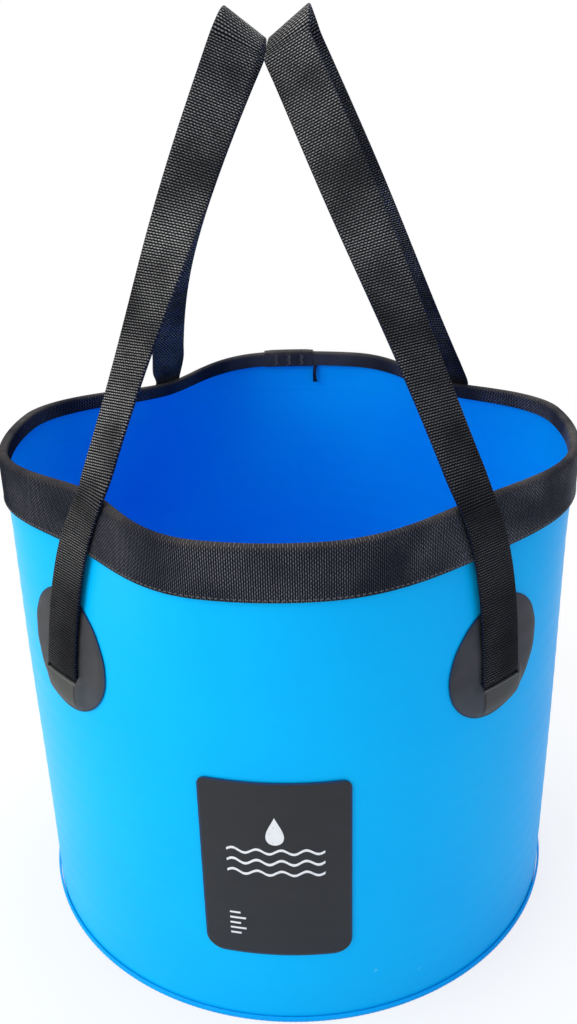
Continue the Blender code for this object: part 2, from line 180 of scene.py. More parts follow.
class Paint:
    """A Principled material under construction."""

    def __init__(self, name: str) -> None:
        """Starts a material with its Principled shader.

        Args:
            name: the material's name.
        """
        self.material = bpy.data.materials.new(name)
        self.material.use_nodes = True
        self.tree = self.material.node_tree
        self.shader = self.tree.nodes["Principled BSDF"]

    def node(self, kind: str, settings: Optional[dict] = None, inputs: Optional[dict] = None,
             output: Union[int, str] = 0) -> Socket:
        """Adds a node, sets it up, and gives one of its outputs.

        Args:
            kind: the node's type.
            settings: its properties, which are set first.
            inputs: values or sockets by the input's name or number.
            output: the output wanted.

        Returns:
            The output as a Socket.
        """
        node = self.tree.nodes.new(kind)
        for key, value in (settings or {}).items():
            setattr(node, key, value)
        for key, value in (inputs or {}).items():
            if isinstance(value, Socket):
                self.tree.links.new(value.output, node.inputs[key])
            else:
                node.inputs[key].default_value = value
        return Socket(self, node.outputs[output])

    def uv(self) -> tuple[Socket, Socket, Socket]:
        """The piece's own UV map, in metres: the vector and its two parts.

        Returns:
            The vector, its first part and its second.
        """
        vector = self.node("ShaderNodeUVMap", {"uv_map": UV_NAME})
        split = self.node("ShaderNodeSeparateXYZ", None, {0: vector})
        return vector, split, Socket(self, split.output.node.outputs[1])

    def noise(self, vector: Socket, scale: float, detail: float = 2.0) -> Socket:
        """Soft noise from 0 to 1, its scale in cells to the metre.

        Args:
            vector: where the noise is read.
            scale: its cells to the metre.
            detail: its finer layers.

        Returns:
            The noise.
        """
        inputs = {"Vector": vector, "Scale": scale, "Detail": detail, "Roughness": 0.5}
        return self.node("ShaderNodeTexNoise", {"noise_dimensions": "3D"}, inputs)

    def cells(self, vector: Socket, scale: float) -> tuple[Socket, Socket]:
        """Scattered points: the distance to the nearest, in cells, and its own random value.

        Args:
            vector: where the points are read.
            scale: how many there are to the metre.

        Returns:
            The distance and the random value.
        """
        distance = self.node("ShaderNodeTexVoronoi", None, {"Vector": vector, "Scale": scale}, "Distance")
        colour = Socket(self, distance.output.node.outputs["Color"])
        return distance, self.node("ShaderNodeSeparateXYZ", None, {0: colour})

    def mix(self, share: Number, first: Union[Colour, Socket], second: Union[Colour, Socket]) -> Socket:
        """Mixes two colours.

        Args:
            share: how much of the second.
            first: the colour at 0.
            second: the colour at 1.

        Returns:
            The mixed colour.
        """
        ends = {
            key: value if isinstance(value, Socket) else (*value, 1.0)
            for key, value in ((6, first), (7, second))
        }
        return self.node("ShaderNodeMix", {"data_type": "RGBA"}, {0: share, **ends}, 2)

    def finish(self, height: Optional[Socket] = None, relief: float = 0.0, strength: float = 1.0,
               **inputs: Union[float, Colour, Socket]) -> bpy.types.Material:
        """Feeds the Principled shader.

        Args:
            height: the relief that a Bump node reads.
            relief: how high that relief is at 1.
            strength: how strongly it shows.
            inputs: the shader's inputs, with spaces as underscores.

        Returns:
            The finished material.
        """
        if height is not None:
            inputs["Normal"] = self.node(
                "ShaderNodeBump", None, {"Height": height, "Distance": relief, "Strength": strength}
            )
        for key, value in inputs.items():
            socket = self.shader.inputs[key.replace("_", " ")]
            if isinstance(value, Socket):
                self.tree.links.new(value.output, socket)
            else:
                socket.default_value = (*value, 1.0) if isinstance(value, tuple) else value
        return self.material


# Finishes


@dataclass(frozen=True)
class CoatedFabric:
    """Smooth coated fabric, seen on its outer face or as the glossier lining."""

    name: str
    colour: Colour
    shade: Colour
    roughness: float
    gloss: float
    weave_pitch: float = 0.0011
    speck_cells: float = 46.0
    speck_size: float = 0.055
    weave_relief: float = 0.00004

    def material(self) -> bpy.types.Material:
        """The fabric, with a faint weave, clouding and a few pale specks.

        Returns:
            The material.
        """
        paint = Paint(self.name)
        vector, along, up = paint.uv()
        cloud = paint.noise(vector, 14.0)
        fine = paint.noise(vector, 260.0, 3.0)
        distance, chance = paint.cells(vector, self.speck_cells)
        speck = distance.smooth(self.speck_size, self.speck_size * 0.4) * chance.smooth(0.78, 0.8)
        colour = paint.mix(cloud.smooth(0.3, 0.75) * 0.55, self.colour, self.shade)
        colour = paint.mix(speck * 0.55, colour, PALE_SPECK)
        weave = along.wave(self.weave_pitch) * up.wave(self.weave_pitch)
        height = weave * 0.5 + fine * 0.8 + speck * 3.0
        return paint.finish(
            height=height, relief=self.weave_relief, strength=0.8, Base_Color=colour,
            Roughness=cloud * 0.10 + fine * 0.06 + (self.roughness - 0.08), Specular_IOR_Level=self.gloss,
        )


@dataclass(frozen=True)
class Webbing:
    """Black woven webbing: ribs across it, each a row of threads whose crowns carry a painted highlight in
    the base colour, over a real glossy coat.
    """

    name: str
    rib_pitch: float
    thread_pitch: float
    low_edge: float
    high_edge: float
    dark: Colour = (0.0025, 0.0028, 0.0045)
    # the colour of the painted highlight on the thread crowns
    lit: Colour = (0.44, 0.44, 0.425)
    edge: Colour = (0.002, 0.008, 0.035)
    edge_width: float = 0.0006
    fade: Colour = (0.060, 0.050, 0.042)
    fade_from: float = 1.0
    fade_width: float = 0.0030
    run: float = 0.0
    # how far from the run's ends the painted shade on the glints lifts, from full to gone
    end_shade_from: float = 0.020
    end_shade_to: float = 0.110
    wander: float = 0.00035
    relief: float = 0.00026

    def material(self) -> bpy.types.Material:
        """Woven threads on a UV map that runs along the webbing, then across it.

        Returns:
            The material.
        """
        paint = Paint(self.name)
        vector, along, across = paint.uv()
        wander = paint.noise(vector, 420.0, 1.0) * self.wander
        rib = (along + wander).wave(self.rib_pitch)
        crossing = (across + wander).swing(self.thread_pitch) * (along + wander).swing(self.rib_pitch * 2)
        thread = crossing * 0.5 + 0.5
        cloud = paint.noise(vector, 30.0)
        lint = paint.noise(vector, 1500.0, 1.0)
        # glint: the thread crowns, which get a painted highlight in the base colour and a real glossy coat
        glint = rib.smooth(0.46, 0.94) * (thread.smooth(0.10, 0.80) * 0.75 + 0.25)
        glint = glint * (cloud.smooth(0.32, 0.68) * 0.75 + 0.25) * (lint.smooth(0.3, 0.7) * 0.6 + 0.5)
        # Painted shade: the glints dim towards both ends of the run, where the strap's lower legs lie in
        # shade.
        if self.run:
            from_end = along.math("MINIMUM", self.run - along)
            glint = glint * (from_end.smooth(self.end_shade_from, self.end_shade_to) * 0.8 + 0.2)
        low = across.smooth(self.low_edge + self.edge_width, self.low_edge)
        high = across.smooth(self.high_edge - self.edge_width, self.high_edge)
        worn = across.smooth(self.fade_from, self.fade_from + self.fade_width) * cloud.smooth(0.3, 0.6) * 0.6
        # The lit colour on the glint is a painted highlight.
        colour = paint.mix(glint, self.dark, self.lit)
        colour = paint.mix(worn, colour, self.fade)
        colour = paint.mix(low.math("MAXIMUM", high) * 0.55, colour, self.edge)
        height = rib * 0.65 + thread * rib * 0.35 + lint * 0.12
        return paint.finish(
            height=height, relief=self.relief, strength=0.9, Base_Color=colour,
            Roughness=0.70 - glint * 0.25, Specular_IOR_Level=0.06, Coat_Weight=glint * 0.7,
            Coat_Roughness=0.35,
        )


@dataclass(frozen=True)
class PatchSheet:
    """Matte dark grey coated fabric, pressed over a strap's end, creased and a little scuffed."""

    name: str
    lean: float
    centre: float
    length: float
    width: float
    slit: float
    corner: float
    dark: Colour = (0.018, 0.020, 0.025)
    light: Colour = (0.052, 0.054, 0.056)
    olive: Colour = (0.066, 0.066, 0.052)
    # the bluish colour of the painted shade beside the strap, by the slit
    slate: Colour = (0.052, 0.064, 0.084)
    # the welded edge's dark blue, partly a weld groove and partly painted shade
    rim: Colour = (0.001, 0.020, 0.085)
    # the colour of the painted highlight along the slit's lower lip
    lip_highlight: Colour = (0.22, 0.23, 0.22)
    weave_pitch: float = 0.0009
    crease_width: float = 0.00045
    lip_width: float = 0.0004
    tone_blend: float = 0.0060
    relief: float = 0.00007

    def material(self) -> bpy.types.Material:
        """The sheet, with a fine weave, wear, a crease off the slit darkened by painted shade, a painted
        highlight along the slit's lip, painted bluish shade beside the strap and a bluish welded edge
        darkened by painted shade.

        Returns:
            The material.
        """
        paint = Paint(self.name)
        vector, along, up = paint.uv()
        cloud = paint.noise(vector, 55.0, 3.0)
        grain = paint.noise(vector, 900.0, 2.0)
        distance, chance = paint.cells(vector, 150.0)
        pit = distance.smooth(0.16, 0.05) * chance.smooth(0.80, 0.84)
        weave = along.wave(self.weave_pitch) * up.wave(self.weave_pitch)
        above = up - self.centre
        long_way = (along * math.cos(self.lean) + above * math.sin(self.lean)) * (2 / self.length)
        short_way = (above * math.cos(self.lean) - along * math.sin(self.lean)) * (2 / self.width)
        outwards = long_way * long_way + short_way * short_way
        below = up.smooth(self.slit, self.slit - self.crease_width * 3)
        beside = along - self.corner
        crease = beside.size().smooth(self.crease_width * 1.3, self.crease_width / 2) * below
        half = abs(self.corner)
        # A pale line along the slit's lower lip: a painted highlight.
        at_slit = (up - self.slit).size().smooth(self.lip_width, self.lip_width / 3)
        lip_highlight = at_slit * along.size().smooth(half + self.lip_width, half)
        inner = beside * math.copysign(1.0, self.corner)
        deep = up.smooth(self.slit + self.tone_blend, self.slit - self.tone_blend)
        # slate: painted bluish shade beside the strap, by the slit
        slate = inner.smooth(0.0, self.crease_width * 3) * deep
        olive = inner.smooth(0.0, -self.crease_width * 3) * below
        colour = paint.mix(cloud.smooth(0.25, 0.8) * 0.8 + grain * 0.25, self.dark, self.light)
        colour = paint.mix(slate * 0.55, colour, self.slate)
        colour = paint.mix(olive * 0.55, colour, self.olive)
        # Painted shade darkens the crease off the slit's inner corner.
        colour = paint.mix(crease * 0.85, colour, PIT_AND_CREASE_SHADE)
        colour = paint.mix(lip_highlight * 0.6, colour, self.lip_highlight)
        colour = paint.mix(pit, colour, PIT_AND_CREASE_SHADE)
        # The bluish welded edge: partly the weld groove, partly painted shade.
        colour = paint.mix(outwards.smooth(0.93, 0.985) * 0.9, colour, self.rim)
        return paint.finish(
            height=weave * 0.6 + grain * 0.6 - pit * 2.0 - crease * 4.0, relief=self.relief, strength=0.9,
            Base_Color=colour, Roughness=cloud * 0.15 + 0.46, Specular_IOR_Level=0.28,
        )


@dataclass(frozen=True)
class LabelFilm:
    """The label's dark grey film, darker and bluer along its welded border, partly a weld groove and partly
    painted shade.
    """

    width: float
    bottom: float
    top: float
    name: str = "label_film"
    dark: Colour = (0.014, 0.015, 0.018)
    light: Colour = (0.026, 0.027, 0.029)
    border: Colour = (0.006, 0.035, 0.120)
    border_width: float = 0.0010
    relief: float = 0.00005

    def material(self) -> bpy.types.Material:
        """The film, with a fine grain and scattered dark specks.

        Returns:
            The material.
        """
        paint = Paint(self.name)
        vector, along, up = paint.uv()
        cloud = paint.noise(vector, 40.0)
        grain = paint.noise(vector, 1100.0)
        distance, chance = paint.cells(vector, 120.0)
        pit = distance.smooth(0.14, 0.05) * chance.smooth(0.82, 0.86)
        half = self.width / 2
        beside = along.size().smooth(half - self.border_width, half - self.border_width / 3)
        below = up.smooth(self.bottom + self.border_width, self.bottom + self.border_width / 3)
        above = up.smooth(self.top - self.border_width, self.top - self.border_width / 3)
        edge = beside.math("MAXIMUM", below).math("MAXIMUM", above)
        colour = paint.mix(cloud * 0.8 + grain * 0.2, self.dark, self.light)
        colour = paint.mix(pit, colour, PIT_AND_CREASE_SHADE)
        # The border's darker blue is partly the weld groove and partly painted shade.
        colour = paint.mix(edge * 0.85, colour, self.border)
        return paint.finish(
            height=grain * 0.5 - pit * 2.0 - edge * 3.0, relief=self.relief, strength=0.8, Base_Color=colour,
            Roughness=cloud * 0.12 + 0.34, Specular_IOR_Level=0.25,
        )


@dataclass(frozen=True)
class PlainInk:
    """The thin white print on the label."""

    name: str = "label_ink"
    colour: Colour = (0.86, 0.87, 0.87)
    worn: Colour = (0.30, 0.31, 0.33)

    def material(self) -> bpy.types.Material:
        """The print, a little worn.

        Returns:
            The material.
        """
        paint = Paint(self.name)
        vector, _, _ = paint.uv()
        wear = paint.noise(vector, 700.0, 2.0).smooth(0.66, 0.74)
        colour = paint.mix(wear * 0.45, self.colour, self.worn)
        return paint.finish(Base_Color=colour, Roughness=wear * 0.2 + 0.45)


@dataclass(frozen=True)
class Thread:
    """Sewing thread, twisted from two strands."""

    name: str
    dark: Colour
    light: Colour
    strand_pitch: float = 0.0006
    relief: float = 0.00008

    def material(self) -> bpy.types.Material:
        """The thread, striped across by its twist.

        Returns:
            The material.
        """
        paint = Paint(self.name)
        vector, along, up = paint.uv()
        twist = (along + up).wave(self.strand_pitch)
        fuzz = paint.noise(vector, 1800.0, 1.0)
        colour = paint.mix(twist * 0.7 + fuzz * 0.3, self.dark, self.light)
        return paint.finish(height=twist, relief=self.relief, Base_Color=colour, Roughness=0.72 - twist * 0.1)


# The bucket's form, and tools that shape sheets on it


def ease(value: float) -> float:
    """A smooth step from 0 to 1."""
    value = min(max(value, 0.0), 1.0)
    return value * value * (3 - 2 * value)


def evenly(start: float, end: float, count: int) -> list[float]:
    """Evenly spaced values from start to end, both included."""
    return [start + (end - start) * step / (count - 1) for step in range(count)]


def turn_between(angle: float, start: float) -> float:
    """The angle from start to angle, between minus and plus half a turn."""
    return (angle - start + math.pi) % TAU - math.pi


def azimuth_of(place: Vector) -> float:
    """The azimuth of a point round the bucket's axis."""
    return math.atan2(place.x, -place.y)


def round_point(radius: float, azimuth: float, height: float) -> Vector:
    """The point at a radius, an azimuth and a height."""
    return Vector((radius * math.sin(azimuth), -radius * math.cos(azimuth), height))


@dataclass(frozen=True)
class Dent:
    """A place where the pull of a strap presses the mouth inwards."""

    azimuth: float
    depth: float
    half_angle: float


@dataclass(frozen=True)
class BucketForm:
    """The bucket's outer surface, which every sheet and strap on it follows."""

    radius: float = 0.129
    height: float = 0.232
    sheet: float = 0.0009
    seat: float = 0.0003
    patch_azimuth: float = math.radians(44)
    dent_reach: float = 0.0925
    dent_growth: float = 1.4
    pleat_depth: float = 0.00006
    pleat_pitch: float = 0.0105
    sway_depth: float = 0.00045
    fade: float = 0.022
    wall_top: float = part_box("wall")[1][2]
    binding_bottom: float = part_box("rim_binding")[0][2]
    dents: tuple[Dent, ...] = (
        Dent(math.radians(-43), 0.0185, math.radians(32)),
        Dent(math.radians(43), 0.0115, math.radians(34)),
        Dent(math.radians(134), 0.0270, math.radians(33)),
        Dent(math.radians(-134), 0.0330, math.radians(37)),
    )

    def dent_at(self, azimuth: float, height: float) -> float:
        """How far the straps press the wall inwards at a place on it.

        Args:
            azimuth: the azimuth.
            height: the height.

        Returns:
            The depth.
        """
        reach = (height - self.height + self.dent_reach) / self.dent_reach
        if reach <= 0:
            return 0.0
        pressed = 0.0
        for dent in self.dents:
            away = abs(turn_between(azimuth, dent.azimuth)) / dent.half_angle
            if away < 1:
                pressed += dent.depth * math.cos(math.pi / 2 * away) ** 2
        return pressed * reach**self.dent_growth

    def ripple_at(self, azimuth: float, height: float) -> float:
        """The wall's faint waves: shallow pleats from folding, and a slow sway round it.

        Args:
            azimuth: the azimuth.
            height: the height.

        Returns:
            How far the wall stands out there.
        """
        held = ease(height / self.fade) * ease((self.binding_bottom - height) / self.fade)
        pleat = math.sin(TAU * height / self.pleat_pitch + 1.6 * math.sin(3 * azimuth))
        sway = math.sin(5 * azimuth + 21 * height) * math.sin(2 * azimuth - 9 * height + 0.6)
        return held * (self.pleat_depth * pleat + self.sway_depth * sway)

    def place(self, azimuth: float, height: float, standoff: float) -> Vector:
        """The point that stands off the wall's outer face by this much.

        Args:
            azimuth: the azimuth.
            height: the height.
            standoff: the distance off the wall's outer face.

        Returns:
            The point.
        """
        radius = self.radius + standoff - self.dent_at(azimuth, height) + self.ripple_at(azimuth, height)
        return round_point(radius, azimuth, height)


FORM = BucketForm()


class Piece:
    """Makes one finished object out of a bmesh."""

    def __init__(self, name: str, materials: Sequence[bpy.types.Material], slot: Slot,
                 smooth: float = 40.0) -> None:
        """Keeps how the object is to be finished.

        Args:
            name: the object's name.
            materials: its materials, the first for faces that name no other.
            slot: the record's slot that it stands for; not used.
            smooth: the angle in degrees past which an edge stays sharp.
        """
        self.name = name
        self.materials = materials
        self.slot = slot
        self.smooth = math.radians(smooth)

    def made_of(self, bm: bmesh.types.BMesh, recalculate: bool = True) -> bpy.types.Object:
        """Turns the bmesh into the object.

        Args:
            bm: the shape, whose points are places in the scene. It is freed.
            recalculate: whether its faces are turned outwards first.

        Returns:
            The object.
        """
        if recalculate:
            bmesh.ops.recalc_face_normals(bm, faces=bm.faces)
            if bm.calc_volume(signed=True) < 0:
                bmesh.ops.reverse_faces(bm, faces=bm.faces)
        mesh = bpy.data.meshes.new(self.name)
        bm.to_mesh(mesh)
        bm.free()
        mesh.shade_smooth()
        mesh.set_sharp_from_angle(angle=self.smooth)
        for material in self.materials:
            mesh.materials.append(material)
        obj = bpy.data.objects.new(self.name, mesh)
        bpy.context.scene.collection.objects.link(obj)
        log.info("%s: %d faces", self.name, len(mesh.polygons))
        return obj


def map_uv(bm: bmesh.types.BMesh, place_of: Callable[[bmesh.types.BMVert], tuple[float, float]],
           period: float = 0.0) -> None:
    """Writes the UV map that the finishes read.

    Args:
        bm: the shape.
        place_of: gives a point's place on its surface, in metres.
        period: the length after which the first value starts again, on a closed ring.
    """
    layer = bm.loops.layers.uv.new(UV_NAME)
    for face in bm.faces:
        places = [place_of(loop.vert) for loop in face.loops]
        first = max(place[0] for place in places)
        for loop, (along, across) in zip(face.loops, places):
            if period and first - along > period / 2:
                along += period
            loop[layer].uv = (along, across)


def ring_place(vertex: bmesh.types.BMVert) -> tuple[float, float]:
    """A point's place round the bucket and up it, in metres."""
    return azimuth_of(vertex.co) * FORM.radius, vertex.co.z


def flat_place(vertex: bmesh.types.BMVert) -> tuple[float, float]:
    """A point's place on a flat sheet."""
    return vertex.co.x, vertex.co.y


def lengthwise_place(vertex: bmesh.types.BMVert) -> tuple[float, float]:
    """A point's place along upright webbing, then across it."""
    return vertex.co.y, vertex.co.x


def spin_round(bm: bmesh.types.BMesh, geometry: Sequence, angle: float, steps: int) -> None:
    """Spins geometry about the bucket's axis, joined up where it goes all the way round.

    Args:
        bm: the mesh that holds it.
        geometry: what is spun.
        angle: how far round it goes.
        steps: the number of steps.
    """
    bmesh.ops.spin(
        bm, geom=geometry, cent=(0, 0, 0), axis=(0, 0, 1), angle=angle, steps=steps,
        use_merge=angle == TAU, use_duplicate=False,
    )


def sheet_profile(rows: Sequence[float]) -> list[tuple[float, float]]:
    """The closed profile of a sheet inside the wall's outer face, with points at these heights."""
    return [(0.0, row) for row in rows] + [(-FORM.sheet, row) for row in reversed(rows)]


def turned_ring(profile: Sequence[tuple[float, float]], steps: int) -> bmesh.types.BMesh:
    """Spins a closed profile round the bucket's axis.

    Args:
        profile: its (standoff, height) points.
        steps: the number of steps round.

    Returns:
        The ring as a true circle, before it is pressed into shape.
    """
    bm = bmesh.new()
    points = [bm.verts.new((FORM.radius + standoff, 0, height)) for standoff, height in profile]
    edges = [bm.edges.new((points[i - 1], points[i])) for i in range(len(points))]
    spin_round(bm, points + edges, TAU, steps)
    return bm


def press_in(bm: bmesh.types.BMesh, more: Optional[Callable[[float, float, float], float]] = None) -> None:
    """Presses the dents and waves into a ring that was turned as a true circle.

    Args:
        bm: the ring.
        more: gives a further standoff from the azimuth, the height and the standoff.
    """
    for vertex in bm.verts:
        azimuth, height = azimuth_of(vertex.co), vertex.co.z
        standoff = math.hypot(vertex.co.x, vertex.co.y) - FORM.radius
        extra = more(azimuth, height, standoff) if more else 0.0
        vertex.co = FORM.place(azimuth, height, standoff + extra)


def wrap_round(bm: bmesh.types.BMesh, azimuth: float) -> None:
    """Wraps a flat sheet on to the wall: X runs round it, Y is the height and Z stands off it.

    Args:
        bm: the sheet.
        azimuth: where its X is zero.
    """
    for vertex in bm.verts:
        across, height, standoff = vertex.co
        vertex.co = FORM.place(azimuth + across / FORM.radius, height, standoff)


def cut_lines(bm: bmesh.types.BMesh, axis: int, places: Iterable[float]) -> None:
    """Cuts a flat sheet along lines square to the X axis (0) or the Y axis (1).

    Args:
        bm: the sheet.
        axis: the axis that the lines are square to.
        places: where they cross it.
    """
    normal = Vector((1, 0, 0)) if axis == 0 else Vector((0, 1, 0))
    for place in places:
        geometry = bm.verts[:] + bm.edges[:] + bm.faces[:]
        bmesh.ops.bisect_plane(bm, geom=geometry, plane_co=normal * place, plane_no=normal)


def thicken(bm: bmesh.types.BMesh, rise_of: Callable[[Vector], float]) -> None:
    """Extrudes a flat sheet along Z into a closed solid.

    Args:
        bm: the sheet.
        rise_of: gives the thickness at a point of it.
    """
    grown = bmesh.ops.extrude_face_region(bm, geom=bm.faces[:])
    for item in grown["geom"]:
        if isinstance(item, bmesh.types.BMVert):
            item.co.z += rise_of(item.co)


@dataclass(frozen=True)
class Collapse:
    """The rim's collapse joint, and the frame's bodies that soft pieces on the wall ride."""

    joint: str = "rim_collapse"

    @property
    def keep(self) -> float:
        """The share of its height that the wall keeps, so that its top stays under the rim."""
        joint = next(item for item in frame["record"]["behaviour"]["joints"] if item["name"] == self.joint)
        return 1 - joint["range_m"][1] / FORM.wall_top

    def on_base(self, obj: bpy.types.Object) -> None:
        """Lets a piece ride the base, on its own copy of its mesh."""
        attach(obj, Body.BASE.value)
        self.keep
        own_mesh(obj)

    def on_anchors(self, obj: bpy.types.Object) -> None:
        """Lets a piece ride the anchors, on its own copy of its mesh.

        Args:
            obj: the piece.
        """
        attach(obj, Body.ANCHORS.value)
        self.keep
        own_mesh(obj)


COLLAPSE = Collapse()


# The bucket's own pieces


@dataclass
class Wall:
    """The tube of coated fabric, its upright weld at the back and its top inside the rim."""

    steps: int = 192
    row_pitch: float = 0.0021
    seam_width: float = 0.018
    seam_thickness: float = 0.0008
    seam_column: float = 0.0009
    weld_relief: float = 0.00016
    weld_pitch: float = 0.0024
    hem_rows: int = 10
    outside: CoatedFabric = CoatedFabric(
        "wall_outside", (0.001, 0.51, 0.99), (0.001, 0.46, 0.97), roughness=0.34, gloss=0.05,
    )
    # The lining is the wall's fabric in a darker blue: painted shade for the bucket's inside.
    lining: CoatedFabric = CoatedFabric(
        "wall_lining", (0.001, 0.39, 1.0), (0.001, 0.34, 0.98), roughness=0.20, gloss=0.3,
    )

    def build(self) -> None:
        """Builds the wall, the weld and the hem."""
        outside, lining = self.outside.material(), self.lining.material()
        self.build_sheet(outside, lining)
        self.build_seam(outside)
        self.build_hem(lining)

    def build_sheet(self, outside: bpy.types.Material, lining: bpy.types.Material) -> None:
        """The wall itself, both faces, from the ground to the rim webbing.

        Args:
            outside: the outer face's material.
            lining: the inner face's.
        """
        rows = evenly(0.0, FORM.wall_top, round(FORM.wall_top / self.row_pitch))
        bm = turned_ring(sheet_profile(rows), self.steps)
        middle = FORM.radius - FORM.sheet / 2
        for face in bm.faces:
            centre = face.calc_center_median()
            face.material_index = 0 if math.hypot(centre.x, centre.y) > middle else 1
        map_uv(bm, ring_place, TAU * FORM.radius)
        press_in(bm)
        obj = Piece("wall_sheet", [outside, lining], Slot.WALL).made_of(bm)
        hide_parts("wall")
        COLLAPSE.on_base(obj)

    def build_seam(self, finish: bpy.types.Material) -> None:
        """The outer lap of the wall's upright weld, with the tracks of the welding wheel.

        Args:
            finish: its material.
        """
        low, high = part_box("wall_seam_lap")
        bm = bmesh.new()
        columns = round(self.seam_width / self.seam_column)
        rows = round((high[2] - low[2]) / self.row_pitch) * 2
        bmesh.ops.create_grid(bm, x_segments=columns, y_segments=rows, size=0.5)
        half = self.seam_width / 2
        for vertex in bm.verts:
            up = low[2] + (vertex.co.y + 0.5) * (high[2] - low[2])
            vertex.co = (vertex.co.x * self.seam_width, up, FORM.seat)

        def rise(place: Vector) -> float:
            """The lap's thickness, thin at its edges and pressed by the wheel along two tracks.

            Args:
                place: a point of the flat lap.

            Returns:
                The thickness there.
            """
            edge = ease((half - abs(place.x)) / (self.seam_column * 2))
            track = math.exp(-(((abs(place.x) - half / 2) / (half / 6)) ** 2))
            dimple = 0.6 + 0.4 * math.cos(TAU * place.y / self.weld_pitch)
            return self.seam_thickness * (0.45 + 0.55 * edge) - self.weld_relief * track * dimple

        thicken(bm, rise)
        map_uv(bm, flat_place)
        wrap_round(bm, math.pi)
        obj = Piece("wall_seam", [finish], Slot.WALL).made_of(bm)
        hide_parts("wall_seam_lap")
        COLLAPSE.on_base(obj)

    def build_hem(self, finish: bpy.types.Material) -> None:
        """The wall's top, held in the folded webbing.

        Args:
            finish: its material.
        """
        low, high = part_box("wall_hem")
        rows = evenly(low[2] - FORM.seat * 0.85, high[2], self.hem_rows)
        bm = turned_ring(sheet_profile(rows), self.steps)
        map_uv(bm, ring_place, TAU * FORM.radius)
        press_in(bm)
        obj = Piece("hem_sheet", [finish], Slot.WALL).made_of(bm)
        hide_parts("wall_hem")
        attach(obj, Body.RIM.value)


@dataclass
class Base:
    """The base sheet with its turned-up skirt, and the welded edge round the outside."""

    steps: int = 144
    rings: int = 22
    skirt_rows: int = 6
    corner: float = 0.0035
    sag: float = 0.0007
    crimps: int = 330
    crimp_depth: float = 0.00012
    # The floor inside is the wall's fabric in a darker blue, like the lining: painted shade for the bucket's
    # inside.
    floor: CoatedFabric = CoatedFabric(
        "base_sheet_fabric", (0.001, 0.40, 1.0), (0.001, 0.34, 0.98), roughness=0.26, gloss=0.3,
    )
    edge: CoatedFabric = CoatedFabric(
        "base_edge_fabric", (0.001, 0.42, 0.95), (0.001, 0.36, 0.90), roughness=0.36, gloss=0.08,
    )

    def build(self) -> None:
        """Builds both pieces."""
        self.build_floor()
        self.build_edge()

    def build_floor(self) -> None:
        """The round floor and its skirt, as one sheet with a rounded corner."""
        outer = FORM.radius - FORM.sheet - FORM.seat
        skirt_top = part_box("base_sheet")[1][2]
        across = evenly(0.0, outer - self.corner, self.rings)
        route = [(radius, 0.0) for radius in across]
        for angle in evenly(0.0, math.pi / 2, 5)[1:]:
            radius = outer - self.corner + self.corner * math.sin(angle)
            route.append((radius, self.corner * (1 - math.cos(angle))))
        route += [(outer, height) for height in evenly(self.corner, skirt_top, self.skirt_rows)[1:]]
        bm = bmesh.new()
        points = [bm.verts.new((radius, 0, height)) for radius, height in route]
        edges = [bm.edges.new(pair) for pair in zip(points, points[1:])]
        spin_round(bm, points + edges, TAU, self.steps)
        bmesh.ops.remove_doubles(bm, verts=bm.verts, dist=FORM.seat / 10)
        bmesh.ops.recalc_face_normals(bm, faces=bm.faces)
        if max(bm.faces, key=lambda face: face.calc_area()).normal.z > 0:
            bmesh.ops.reverse_faces(bm, faces=bm.faces)
        bmesh.ops.solidify(bm, geom=bm.faces[:], thickness=FORM.sheet)
        inside = outer - self.corner
        for vertex in bm.verts:
            radius = math.hypot(vertex.co.x, vertex.co.y)
            azimuth = azimuth_of(vertex.co)
            if radius < inside:
                wave = 1.6 + math.sin(7 * azimuth + 40 * radius) + 0.6 * math.sin(4 * azimuth - 90 * radius)
                vertex.co.z += self.sag * wave * ease(radius / inside * 3) * ease((inside - radius) / 0.02)
        map_uv(bm, lambda vertex: (vertex.co.x, vertex.co.y + vertex.co.z))
        obj = Piece("base_floor", [self.floor.material()], Slot.BASE).made_of(bm)
        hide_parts("base_sheet")
        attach(obj, Body.BASE.value)

    def build_edge(self) -> None:
        """The welded edge that stands out round the bottom, crimped by the weld."""
        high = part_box("base_weld_edge")[1]
        outer = high[0] - FORM.radius
        top = high[2]
        inner = FORM.seat
        profile = (
            (outer * 0.8, 0.0), (outer, top * 0.25), (outer * 0.96, top * 0.6), (outer * 0.75, top * 0.9),
            (inner + (outer - inner) * 0.35, top), (inner, top * 0.95), (inner, top * 0.5), (inner, 0.0),
        )
        bm = turned_ring(profile, self.crimps * 3)
        map_uv(bm, ring_place, TAU * FORM.radius)

        def crimp(azimuth: float, height: float, standoff: float) -> float:
            """The depth of the crimps, on the outer face alone.

            Args:
                azimuth: the azimuth.
                height: the height.
                standoff: the distance off the wall's outer face.

            Returns:
                How far that point moves out.
            """
            if standoff <= inner * 1.2:
                return 0.0
            return -self.crimp_depth * (0.5 + 0.5 * math.cos(self.crimps * azimuth))

        press_in(bm, crimp)
        obj = Piece("base_weld", [self.edge.material()], Slot.BASE).made_of(bm)
        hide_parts("base_weld_edge")
        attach(obj, Body.BASE.value)


